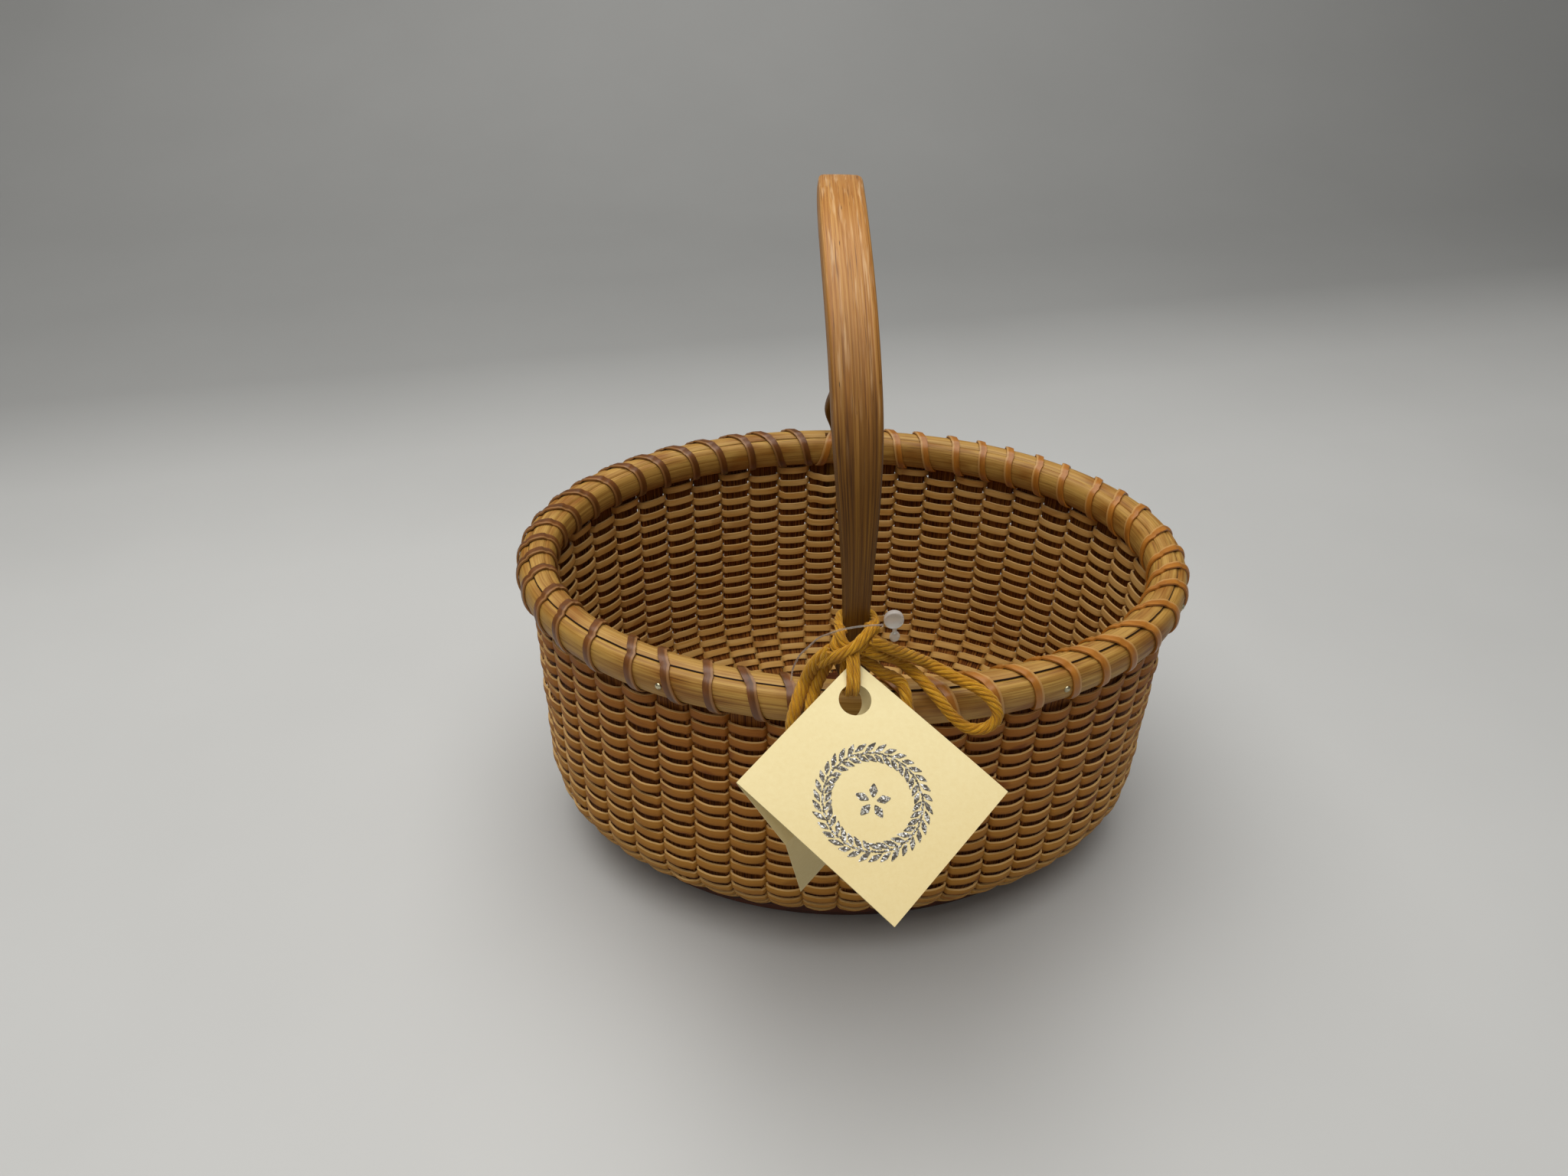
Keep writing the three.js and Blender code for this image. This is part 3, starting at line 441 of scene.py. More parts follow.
# Mesh helpers
def as_mesh(bm, name):
    mesh = bpy.data.meshes.new(name)
    bm.to_mesh(mesh)
    bm.free()
    mesh.shade_smooth()
    return mesh


def finished(bm, name, material, replaced, body="basket", sharp=35):
    """A bmesh becomes a piece that rides on a body, in place of the solids that it stands for."""
    mesh = as_mesh(bm, name)
    mesh.set_sharp_from_angle(angle=math.radians(sharp))
    mesh.materials.append(material)
    piece = new_object(name, mesh)
    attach(piece, body)
    if replaced:
        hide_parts(*replaced)
    return piece


def bent_grid(target, points, along, around, ring=False):
    """Adds a tube to a bmesh: a grid that goes through points[i, j], with its seam closed and its ends
    filled. along and around give the grid's own lengths in millimetres, for the pattern."""
    count, sides = points.shape[0], points.shape[1] - 1
    bm = bmesh.new()
    bm.loops.layers.uv.new("pattern")
    bmesh.ops.create_grid(bm, x_segments=count - 1, y_segments=sides, size=0.5)
    mesh = bpy.data.meshes.new("grid")
    bm.to_mesh(mesh)
    bm.free()
    flat = np.empty((len(mesh.vertices), 3))
    mesh.vertices.foreach_get("co", flat.ravel())
    i = np.rint((flat[:, 0] + 0.5) * (count - 1)).astype(int)
    j = np.rint((flat[:, 1] + 0.5) * sides).astype(int)
    mesh.vertices.foreach_set("co", (points[i, j] * MM).ravel())
    corner = np.empty(len(mesh.loops), int)
    mesh.loops.foreach_get("vertex_index", corner)
    uv = np.column_stack([np.asarray(along)[i[corner]], np.asarray(around)[j[corner]]]) * MM
    mesh.uv_layers[0].uv.foreach_set("vector", uv.ravel())
    part = bmesh.new()
    part.from_mesh(mesh)
    bmesh.ops.remove_doubles(part, verts=part.verts, dist=1e-7)
    if not ring:
        bmesh.ops.holes_fill(part, edges=[e for e in part.edges if e.is_boundary], sides=0)
    bmesh.ops.recalc_face_normals(part, faces=part.faces)
    part.to_mesh(mesh)
    part.free()
    target.from_mesh(mesh)
    bpy.data.meshes.remove(mesh)


def unit(v):
    return v / np.linalg.norm(v, axis=-1, keepdims=True)


def add_strip(bm, middle, across, out, section, widths=1.0, depths=1.0, start=0.0, girth=None):
    """Adds a strip: a section, [across, out] for each side, carried along a middle line. Its pattern
    begins at the start, and goes round by the section's own girth where no other is given."""
    w = np.broadcast_to(np.asarray(widths, float), len(middle))[:, None, None]
    d = np.broadcast_to(np.asarray(depths, float), len(middle))[:, None, None]
    points = middle[:, None] + across[:, None] * section[:, :1] * w + out[:, None] * section[:, 1:] * d
    bent_grid(bm, points, lengths_of(middle) + start, lengths_of(section) if girth is None else girth)


def squared(middle, across):
    """The directions across and out of a strip, made square to its middle line."""
    tangent = unit(np.gradient(middle, axis=0))
    across = unit(across - tangent * np.sum(across * tangent, axis=1, keepdims=True))
    return across, np.cross(tangent, across)


def add_round(bm, middle, radius, start=0.0):
    """Adds a round strand of eight sides."""
    around = np.linspace(0, TURN, 9)
    section = np.column_stack([np.cos(around), np.sin(around)]) * radius
    add_strip(bm, middle, *carried_frame(middle), section, start=start, girth=around * radius)


def between(t, start, end, a, b):
    """The point at t, on a straight way from a at the start to b at the end."""
    return (end - t) / (end - start) * a + (t - start) / (end - start) * b


def smooth_line(points, step):
    """Centripetal spline through the points, taken at even steps."""
    p = np.asarray(points, float)
    p = np.vstack([2 * p[0] - p[1], p, 2 * p[-1] - p[-2]])
    line = []
    for k in range(1, len(p) - 2):
        a, b, c, d = p[k - 1:k + 3]
        t0, t1, t2, t3 = np.cumsum([0.0] + [np.linalg.norm(gap) ** 0.5 for gap in (b - a, c - b, d - c)])
        t = np.linspace(t1, t2, 24, endpoint=False)[:, None]
        ab, bc, cd = between(t, t0, t1, a, b), between(t, t1, t2, b, c), between(t, t2, t3, c, d)
        line.append(between(t, t1, t2, between(t, t0, t2, ab, bc), between(t, t1, t3, bc, cd)))
    line = np.vstack(line + [p[-2][None, :]])
    lengths = lengths_of(line)
    even = np.linspace(0, lengths[-1], max(int(round(lengths[-1] / step)), 4) + 1)
    return np.column_stack([np.interp(even, lengths, line[:, i]) for i in range(3)])


def carried_frame(line):
    """Two directions across a line that don't twist along it."""
    tangent = unit(np.gradient(line, axis=0))
    sides = [unit(np.cross(tangent[0], [0.3, 0.2, 1.0]))]
    for t in tangent[1:]:
        sides.append(unit(sides[-1] - t * np.dot(sides[-1], t)))
    return np.array(sides), np.cross(tangent, sides)


# Yarn: six plies that wind round a smooth line, one turn in 13 mm
YARN_DIAMETER = 3.1
PLIES = 6
PLY_TURN = 13.0
PLY_RADIUS = 0.19  # in shares of the yarn's diameter
YARN_STEP = 0.4
PATTERN_SHIFT = 37  # from one ply to the next


def plied(bm, points, diameter, phase):
    """Adds a strand of plied yarn along the points, and gives back its middle line."""
    line = smooth_line(points, YARN_STEP)
    side, other = carried_frame(line)
    lengths = lengths_of(line)
    radius = diameter * PLY_RADIUS
    orbit = diameter / 2 - radius
    for ply in range(PLIES):
        angle = phase + TURN * (ply / PLIES - lengths / PLY_TURN)
        centre = line + orbit * (side * np.cos(angle)[:, None] + other * np.sin(angle)[:, None])
        add_round(bm, centre, radius, PATTERN_SHIFT * ply)
    return line


BOW_RIGHT = [
    (-2.1, -77.6, 124.8), (0.8, -77.2, 122.7), (5.3, -75, 119), (9.6, -72.5, 115.4), (14, -70.5, 111.6),
    (20.4, -72.8, 109.1), (25.9, -75.6, 107.7), (29.5, -77.4, 105), (30.9, -78.6, 101.3), (28.5, -79.2, 98.3),
    (24, -79.2, 98), (20, -78.4, 100.9), (16, -76.6, 105.4), (12.4, -73.6, 108.4), (9.2, -71.2, 110.4),
    (6.2, -71.4, 113.4), (2.6, -74.4, 117.2), (-0.6, -77, 119.9), (-3.4, -77.3, 121.5),
]
TAIL_RIGHT = [
    (-4, -75.4, 118), (-1.2, -75.4, 115.4), (1.6, -75.1, 112.6), (4.7, -74.3, 110.4), (6.6, -74.6, 108.9),
    (7.5, -77, 107.6), (8, -79, 105), (8.5, -79.3, 100.3), (9.1, -79.2, 95.3),
]
BOW_LEFT = [
    (-11.4, -78.2, 121.9), (-13.6, -77, 118.9), (-15.6, -75.4, 114.4), (-17.2, -74.4, 109.2),
    (-18.6, -76.2, 106.4), (-19.8, -78.6, 103), (-20.4, -79.5, 98.5), (-19.2, -79.6, 94.6),
    (-16.4, -79.6, 93.4), (-14.9, -79.6, 96.2), (-15.6, -79.2, 100.7), (-15.7, -77.4, 104.6),
    (-14.9, -75.2, 107.4), (-13.6, -75, 111.4), (-12.2, -75.4, 115.6), (-10.6, -75.8, 119),
    (-9, -76.1, 121.4),
]
WRAP = [
    (-8.4, -76, 125.2), (-9.4, -74, 125.5), (-9.3, -70, 124.9), (-8.4, -66.9, 124.4), (-5, -66.1, 124.4),
    (-1.6, -66.9, 124.6), (-0.8, -70, 125.4), (-1, -74, 126.6), (-3, -75.9, 127),
]
TAG_TIE = [
    (-6.6, -79.8, 122.7), (-6.4, -81.6, 121.2), (-6.4, -83.6, 119.5), (-6.4, -85.2, 117.9),
    (-6.5, -86, 116.3), (-6.8, -85.6, 114.6), (-7.2, -83.8, 113.6), (-7.5, -81.2, 113.9),
    (-7.6, -79, 116.4), (-7.2, -77.4, 121.4),
]
# The knot's strands with their diameters and phases: one crosses over in front, one passes under it,
# and two turns bind them.
KNOT = [
    ([(-1, -75.4, 127.2), (-3.6, -78.2, 126), (-6.4, -80.2, 124.2), (-9.2, -79.9, 122),
      (-11.6, -78.7, 119.9), (-13.9, -77.4, 117)], 2.7, 0),
    ([(-0.4, -74.6, 126), (-2.6, -77, 124.6), (-5.4, -78.9, 122.6), (-8.2, -78.3, 120.2),
      (-10.6, -76.8, 117.6)], 2.5, 1),
    ([(-9.3, -74.6, 126.2), (-9.2, -77, 124.9), (-8, -78.2, 123.2), (-5.2, -77.9, 122.4),
      (-2.4, -77.3, 122.6), (0.6, -77.2, 122.3)], 2.5, 0.5),
    ([(-9.9, -75.8, 123.8), (-10.6, -77.6, 122.6), (-9.6, -78.6, 121.6)], 2.4, 0),
]
FILAMENT = [
    (0.5, -78, 129.2), (-4.3, -79.6, 130), (-8.9, -79.2, 128.8), (-12.3, -77.6, 126.2), (-14.6, -74.4, 122.4),
    (-16.5, -73, 119), (-18.3, -72, 116), (-19.6, -72, 113.4), (-20.4, -73, 111.4), (-20.7, -74.4, 109.4),
]


def yarn_piece(name, node, strands, body="basket"):
    """Strands of yarn as one piece, each given as points, diameter and phase."""
    bm = bmesh.new()
    for points, diameter, phase in strands:
        line = plied(bm, points, diameter, phase)
    piece = finished(bm, name, YARN, [node], body, sharp=60)


yarn_piece("bow_loop_right", "yarn_bow_right", [(BOW_RIGHT, YARN_DIAMETER, 0.0)])
yarn_piece("bow_loop_left", "yarn_bow_left", [(BOW_LEFT, 3.5, 0.7)])
yarn_piece("loose_tail_right", "yarn_tail_right", [(TAIL_RIGHT, YARN_DIAMETER, 1.3)])
yarn_piece("wrap_round_handle", "yarn_wrap", [(WRAP, 2.3, 0.0)])
# The same strand twice, side by side, goes over the card's corner and down through its hole.
yarn_piece("tie_through_tag", "tag_tie", [
    ([(x + side, y, z) for x, y, z in TAG_TIE], 1.8, 0.4 + side) for side in (-0.8, 0.8)], body="tag")
yarn_piece("yarn_knot_strands", "yarn_knot", KNOT)

# Clear fastener: a dished button with a small paddle, and the filament that it is moulded on
BUTTON_PLACE = (3.2, -76.4, 129.6)
BUTTON_RADIUS = 2.4
FILAMENT_RADIUS = 0.22


def make_fastener():
    bm = bmesh.new()
    radius = BUTTON_RADIUS * MM
    bmesh.ops.create_cone(bm, cap_ends=True, segments=40, radius1=radius, radius2=radius, depth=1.5 * MM)
    edges = [e for e in bm.edges if len(e.link_faces) == 2 and e.calc_face_angle() > 1]
    bmesh.ops.bevel(bm, geom=edges, offset=0.3 * MM, segments=3, profile=0.5, affect="EDGES", material=-1)
    ends = [f for f in bm.faces if abs(f.normal.z) > 0.99 and f.calc_area() > MM * MM]
    bmesh.ops.inset_individual(bm, faces=ends, thickness=0.45 * MM, depth=-0.3 * MM)
    bmesh.ops.rotate(bm, verts=bm.verts, matrix=Matrix.Rotation(TURN / 4, 3, "X"))
    paddle = Matrix.Translation((0.55 * MM, 0, -5.0 * MM)) @ Matrix.Diagonal((1.25, 0.38, 1.6, 1))
    bmesh.ops.create_uvsphere(bm, u_segments=20, v_segments=12, radius=MM, matrix=paddle)
    bmesh.ops.create_cone(bm, cap_ends=True, segments=12, radius1=0.55 * MM, radius2=0.5 * MM,
                          depth=2.2 * MM, matrix=Matrix.Translation((0.4 * MM, 0, -3.0 * MM)))
    bmesh.ops.translate(bm, vec=Vector(BUTTON_PLACE) * MM, verts=bm.verts)
    head = finished(bm, "fastener_button", CLEAR, ["fastener_head"])
    line = smooth_line(FILAMENT, 0.5)[::-1]
    bm = bmesh.new()
    add_round(bm, line, FILAMENT_RADIUS)
    piece = finished(bm, "fastener_line", CLEAR_LINE, ["fastener_filament"])


make_fastener()

# The weave: one cane wound round and round, over one stave and under the next
ROWS = 37.25
ROW_PITCH = 2.395
UPPER_ROWS = 19
WEAVER_WIDTH = 2.36
WEAVER_THICKNESS = 0.6
OVER_STAVE = 1.06  # from the staves' middle to the cane's, at a stave's edge
OUTER_BULGE, INNER_BULGE = 1.25, 0.9
OUTER_WIDTH = 1.2  # the strips outside cover more of their row
GAP_SHARE = 0.25
CROSSING = 0.085  # half of a crossing between two staves, in shares of the pitch
TAIL_REACH, TAIL_BOTTOM, TAIL_PUSH = 4.2, 73, 1.7
PATTERN_PITCH = 10.7  # of cane used up from one stave to the next
STEPS = np.array([-0.1, -0.06, -0.02, 0.02, 0.06, 0.1, 0.2, 0.35, 0.5, 0.65, 0.8])


def near_tail(share, width):
    """How near the shares are to the handle's tails: 1 within a width of them, and 0 beyond 3 mm more."""
    nearest = np.min([np.abs((share - foot + 0.5) % 1 - 0.5) for foot in (FRONT_FOOT, REAR_FOOT)], axis=0)
    return np.clip((width - nearest * OVAL) / 3 + 1, 0, 1)


def weaver(name, first_turn, last_turn):
    rng = np.random.default_rng(11)
    vary = rng.normal(size=(4, int(ROWS + 2) * STAVES + 60))
    first, last = int(first_turn * STAVES), int(last_turn * STAVES)
    crossing = np.repeat(np.arange(first, last + 1), len(STEPS))
    step = np.tile(STEPS, last + 1 - first)
    share = (crossing + step + GAP_SHARE) / STAVES
    turns = (crossing + step) / STAVES
    # Past the middle of a stave, the next crossing is the nearer one, and it turns the other way.
    away = np.where(step > 0.5, step - 1, step)
    side = np.where(crossing % 2 == 0, 1, -1) * np.where(step > 0.5, -1, 1)
    facing = side * np.sign(away)
    # Inside a crossing the cane goes from one face of the staves to the other.
    rise = ease(0, CROSSING, np.abs(away))
    bulge = np.where(facing > 0, OUTER_BULGE, INNER_BULGE) * (1 + 0.16 * vary[0][crossing])
    bulge = bulge * np.clip(1.25 - turns / 60, 0.6, 1)
    offset = facing * (OVER_STAVE * rise + bulge * np.sin(np.pi * np.abs(away)))
    length = WEAVER_WIDTH / 2 + 0.15 + turns * ROW_PITCH + 0.1 * vary[1][crossing]
    # The upper rows aren't quite level.
    length += 0.25 * np.sin(share * TURN * 2 + 0.8) * np.clip(1 - turns / 14, 0, 1)
    inset, height, out, up = down_wall(length, WALL_TOP)
    tail = near_tail(share % 1, TAIL_REACH) * np.clip((height - TAIL_BOTTOM) / 3, 0, 1)
    offset = np.where(offset < 0, offset - TAIL_PUSH * tail, offset)
    x, y, ox, oy = on_oval(share, -inset)
    middle = np.column_stack([x, y, height]) + offset[:, None] * np.column_stack([ox * out, oy * out, up])
    down, inwards = squared(middle, np.column_stack([ox * up, oy * up, -out]))
    pinch = 0.985 + 0.015 * np.clip(np.abs(away) / 0.2, 0, 1)
    width = pinch * np.where(facing > 0, OUTER_WIDTH, 1.0) * (1 + 0.035 * vary[2][crossing])
    width = width * np.where(height < 16, 0.97, 1.0)
    w, t = WEAVER_WIDTH / 2, WEAVER_THICKNESS / 2
    section = np.array([(-w, -t), (0, -t - 0.06), (w, -t), (w, t), (0, t + 0.06), (-w, t), (-w, -t)])
    bm = bmesh.new()
    add_strip(bm, middle, down, inwards, section, width, start=first * PATTERN_PITCH)
    finished(bm, name, CANE, ["woven_wall"], sharp=62)


weaver("cane_weave_upper", 0, UPPER_ROWS)
weaver("cane_weave_lower", UPPER_ROWS, ROWS)

# Staves: thin ribs that stand in the base's groove and follow the wall up into the rim
RIB_ACROSS = np.array([-0.5, -0.46, -0.2, 0.2, 0.46, 0.5, 0.5, 0.46, 0.2, -0.2, -0.46, -0.5, -0.5])
RIB_OUT = np.array([-0.3, -0.5, -0.5, -0.5, -0.5, -0.3, 0.3, 0.5, 0.5, 0.5, 0.5, 0.3, -0.3])


def make_staves():
    bm = bmesh.new()
    top = RIM_TOP - 0.3
    straight = top - CORNER_TOP
    reach = straight + corner_length[-1] + GROOVE_DEPTH
    steps = np.concatenate([np.linspace(0, straight, 7), np.linspace(straight, reach, 19)[1:]])
    inset, height, out, up = (part[:, None] for part in down_wall(steps, top))
    depth = RIB_OUT * STAVE_THICKNESS
    across = (pitch(inset) - STAVE_SPACE) / pitch(inset) * RIB_ACROSS
    for k in range(STAVES):
        x, y, ox, oy = on_oval((k + 0.75 + across) / STAVES, -inset)
        points = np.stack([x + depth * ox * out, y + depth * oy * out, height + depth * up], axis=-1)
        # The pattern runs up each rib, and no two ribs share it.
        bent_grid(bm, points, steps, (RIB_ACROSS + 0.5) * 9.2 + 13.0 * k)
    nodes = [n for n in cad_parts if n.startswith("staves_")]
    finished(bm, "oak_staves", RIB, nodes, sharp=50)


make_staves()


# Rim: two half-round hoops, the cover strips between them, and the lashing
def hoop_belly(angle, room=0.0):
    """Offset and height on the round side of a hoop, room millimetres off it."""
    belly = HOOP_THICKNESS - HOOP_FLAT + room
    offset = HOOP_SEAT + HOOP_FLAT + belly * np.cos(angle) ** 0.8
    return offset, HOOP_MIDDLE + (HOOP_HALF_HEIGHT + room) * np.sin(angle)


def make_hoop(name, side, node):
    flat = HOOP_HALF_HEIGHT - 0.2
    curve = np.column_stack(hoop_belly(np.radians(np.linspace(-90, 90, 17))))
    outline = np.vstack([[HOOP_SEAT, HOOP_MIDDLE - flat], curve, [HOOP_SEAT, HOOP_MIDDLE + flat]])
    outline = np.vstack([outline, outline[:1]]) * (side, 1)
    share = np.linspace(0, 1, STAVES * 6 + 1)[:, None]
    # Bent by hand, a hoop is nowhere quite level.
    wave = 0.12 * np.sin(share * TURN * 3 + side) + 0.08 * np.sin(share * TURN * 7 + 2 * side)
    x, y, ox, oy = on_oval(share, outline[:, 0])
    bm = bmesh.new()
    points = np.stack([x, y, outline[:, 1] + wave], axis=-1)
    bent_grid(bm, points, share[:, 0] * OVAL, lengths_of(outline), ring=True)
    finished(bm, name, HOOP, [node], sharp=60)


make_hoop("rim_hoop_outside", 1, "outer_hoop")
make_hoop("rim_hoop_inside", -1, "inner_hoop")

COVER_SECTION = np.array([
    (-2.7, -0.6), (1.95, -0.5), (2.0, -0.3), (1.85, -0.05), (1.0, 0.32), (0, 0.45), (-1.0, 0.38),
    (-1.9, 0.1), (-2.6, -0.3), (-2.75, -0.55), (-2.7, -0.6)])
FOOT_GAP = 4.75 / OVAL


def make_cover(name, start, end, node, seed):
    count = 150
    sway = np.convolve(np.random.default_rng(seed).normal(size=count + 20), np.ones(21) / 21, "valid")
    middle, across = standing(np.linspace(start, end, count), 0.5 * sway, RIM_HEIGHT - 0.55)
    bm = bmesh.new()
    add_strip(bm, middle, across, np.tile(UP, (count, 1)), COVER_SECTION, 1 + 0.06 * sway)
    finished(bm, name, COVER, [node])


make_cover("rim_cover_strip_left", REAR_FOOT + FOOT_GAP, FRONT_FOOT - FOOT_GAP, "rim_cover_left", 3)
make_cover("rim_cover_strip_right", FRONT_FOOT + FOOT_GAP, 1 + REAR_FOOT - FOOT_GAP, "rim_cover_right", 4)

LASH_WIDTH = 2.45
LASH_THICKNESS = 0.7
LEAN_INSIDE = 3.7
LEAN_OUTSIDE = 2.9
# How far the wraps lie behind their gaps, in shares of the pitch: the turns, and the lag at each
LIGHT_LAG = ([0, 1.5, 3, 5, 6, 7, 9, 14, 16, 18, 20, 23],
             [0.5, 0.45, 0.45, 0.46, 0.52, 0.53, 0.35, 0.28, 0.1, 0.1, 0.25, 0.28])
CROSSED_LAG = ([0, 1], [0.3, 0.3])
DARK_LAG = ([0, 1, 2, 3.5, 5, 10.2, 11.2, 12.2, 14, 15.8, 16.8, 17.8, 18.8, 19.8, 20.8, 21.8],
            [0.03, 0.12, -0.02, 0, -0.12, -0.14, 0.1, 0.33, 0.5, 0.5, 0.46, 0.16, -0.03, 0.08, -0.08, 0.11])


def lash_round():
    """One turn of lashing: offset, height, share of the pitch and width, all round from the pass below."""
    room = LASH_THICKNESS / 2 + 0.08
    degrees = np.linspace(-84, 84, 13)
    share = (degrees + 84) / 168
    side = list(zip(*hoop_belly(np.radians(degrees), room), share))
    inside, outside = LEAN_INSIDE / pitch(0), LEAN_OUTSIDE / pitch(0)
    low = HOOP_BOTTOM - 0.45
    top = RIM_HEIGHT + room + 0.05
    across = 1 - outside - inside
    rows = [(-0.8, low, 0.0, 0.45), (-2.0, low, 0.0, 0.9)]
    rows += [(-offset, height, inside * s, 1.0) for offset, height, s in side]
    rows += [(offset, top - drop, inside + across * part, 1.0) for offset, drop, part in (
        (-2.35, 0.6, 0.1), (-1.7, 0.3, 0.2), (-0.9, 0.1, 0.36), (0.9, 0.1, 0.64), (1.7, 0.3, 0.8),
        (2.35, 0.6, 0.9))]
    rows += [(offset, height, 1 - outside * s, 1.0) for offset, height, s in side[::-1]]
    rows += [(2.0, low, 1.0, 0.9), (0.8, low, 1.0, 0.45)]
    return np.array(rows)


def lashing_strand(bm, first_gap, turns, lag, rng, crossed=False):
    """Adds turns of lashing, from a gap between two staves on."""
    rows = []
    for turn in range(turns):
        part = lash_round()
        if crossed:
            part[:, 2] = 1 - part[:, 2]
        part[:, 2] += turn + 0.10 * rng.normal() * np.sin(np.pi * part[:, 2])
        rows.append(part)
    offset, height, turned, width = np.vstack(rows).T
    share = (first_gap + turned + GAP_SHARE) / STAVES
    # Only the pass below the hoops stays at its gap.
    share = share - np.interp(turned, *lag) / STAVES * (np.abs(offset) > 0.85)
    middle, outwards = standing(share, offset, height)
    forward, out = squared(middle, np.cross(UP, outwards))
    w, t = LASH_WIDTH / 2, LASH_THICKNESS / 2
    section = np.array([(-w, -t), (w, -t), (w, t * 0.7), (0, t + 0.08), (-w, t * 0.7), (-w, -t)])
    add_strip(bm, middle, forward, out, section, width)


def make_lashing():
    rng = np.random.default_rng(5)
    bm = bmesh.new()
    lashing_strand(bm, 37, 23, LIGHT_LAG, rng)
    # One light turn just behind the rear foot leans the other way.
    lashing_strand(bm, 12, 1, CROSSED_LAG, rng, crossed=True)
    finished(bm, "lashing_strand_right", LASH_LIGHT, ["lashing_light"], sharp=62)
    bm = bmesh.new()
    lashing_strand(bm, 13, 22, DARK_LAG, rng)
    finished(bm, "lashing_strand_left", LASH_DARK, ["lashing_dark"], sharp=62)


make_lashing()

# Tacks: domed heads on the outer hoop, at places counted in staves
TACK_PLACES = (31.77, 41.45, 46.45, 6.62, 18.62, 21.62)
TACK_RADIUS = 1.0
TACK_DOME = 0.62


def cut(bm, place, facing, **settings):
    everything = bm.verts[:] + bm.edges[:] + bm.faces[:]
    bmesh.ops.bisect_plane(bm, geom=everything, plane_co=place, plane_no=facing, **settings)


def make_tacks():
    seats, outs = standing(np.array(TACK_PLACES) / STAVES, HOOP_SEAT + HOOP_THICKNESS - 0.1, HOOP_MIDDLE)
    for i, (seat, out) in enumerate(zip(seats, outs), 1):
        bm = bmesh.new()
        bmesh.ops.create_uvsphere(bm, u_segments=20, v_segments=12, radius=TACK_RADIUS * MM,
                                  matrix=Matrix.Diagonal((1, 1, TACK_DOME, 1)))
        cut(bm, (0, 0, 0), (0, 0, -1), clear_outer=True)
        bmesh.ops.holes_fill(bm, edges=[e for e in bm.edges if e.is_boundary], sides=0)
        turn = Vector(out).to_track_quat("Z", "Y").to_matrix().to_4x4()
        bmesh.ops.transform(bm, matrix=Matrix.Translation(seat * MM) @ turn, verts=bm.verts)
        finished(bm, f"tack_head_{i}", TACK, [f"tack_{i}"])


make_tacks()

# Handle: a carved arch on two thin tails
ARCH_POWER = 2.3
SHOULDER_RISE, WAIST_RISE, GRIP_RISE = 9, 17, 0.7 * HANDLE_RISE
FOOT_WIDTH, SHOULDER_WIDTH, WAIST_WIDTH, GRIP_WIDTH = 5.4, 10.4, 6.4, 12.1
FOOT_DEPTH, ARCH_DEPTH = 4.4, 6.0
# The rises where the arch is cut near its feet, and a tail's drops, widths and depths from its tip up
LOW_RISES = np.array([0.3, 0.8, 1.5, 2.5, 3.6, 4.8, 6, 7.2, 8.4, 9.6, 11, 12.4, 13.8, 15.2, 16.6, 18,
                      19.6, 21.4, 23.4, 25.6, 28])
TAIL_DROPS = np.array([-31.0, -30.6, -29.8, -28.5, -24, -16, -8, -3.5, -1.2])
TAIL_WIDTHS = np.array([3.0, 5.2, 6.6, 7.3, 7.5, 7.5, 7.4, 6.9, 6.0])
TAIL_DEPTHS = np.array([0.5, 0.8, 1.1, 1.3, 1.5, 1.6, 1.6, 2.2, 3.3])
# Flat faces with knife-cut corners, softer on the inner face than on the outer one
HANDLE_SECTION = np.array([
    (-0.5, -0.3), (-0.47, -0.42), (-0.4, -0.49), (-0.3, -0.5), (0, -0.5), (0.3, -0.5), (0.4, -0.49),
    (0.47, -0.42), (0.5, -0.3), (0.5, 0.0), (0.49, 0.3), (0.46, 0.4), (0.41, 0.45), (0.37, 0.475),
    (0.18, 0.495), (0, 0.5), (-0.18, 0.5), (-0.37, 0.49), (-0.42, 0.475), (-0.455, 0.43),
    (-0.475, 0.36), (-0.5, 0.0), (-0.5, -0.3)])
HANDLE_GIRTH = lengths_of(HANDLE_SECTION) * 9


def handle_width(rise):
    width = FOOT_WIDTH + (SHOULDER_WIDTH - FOOT_WIDTH) * ease(0, SHOULDER_RISE, rise)
    width = width + (WAIST_WIDTH - SHOULDER_WIDTH) * ease(SHOULDER_RISE, WAIST_RISE, rise)
    return width + (GRIP_WIDTH - WAIST_WIDTH) * ease(WAIST_RISE, GRIP_RISE, rise)


def handle_tail(foot, side):
    """A tail from its tip up: middle line, directions across and out, widths and depths."""
    middle, out = standing(foot, np.linspace(-1.55, -1.3, len(TAIL_DROPS)), RIM_HEIGHT + TAIL_DROPS)
    return middle, side * np.cross(out, UP), out, TAIL_WIDTHS, TAIL_DEPTHS


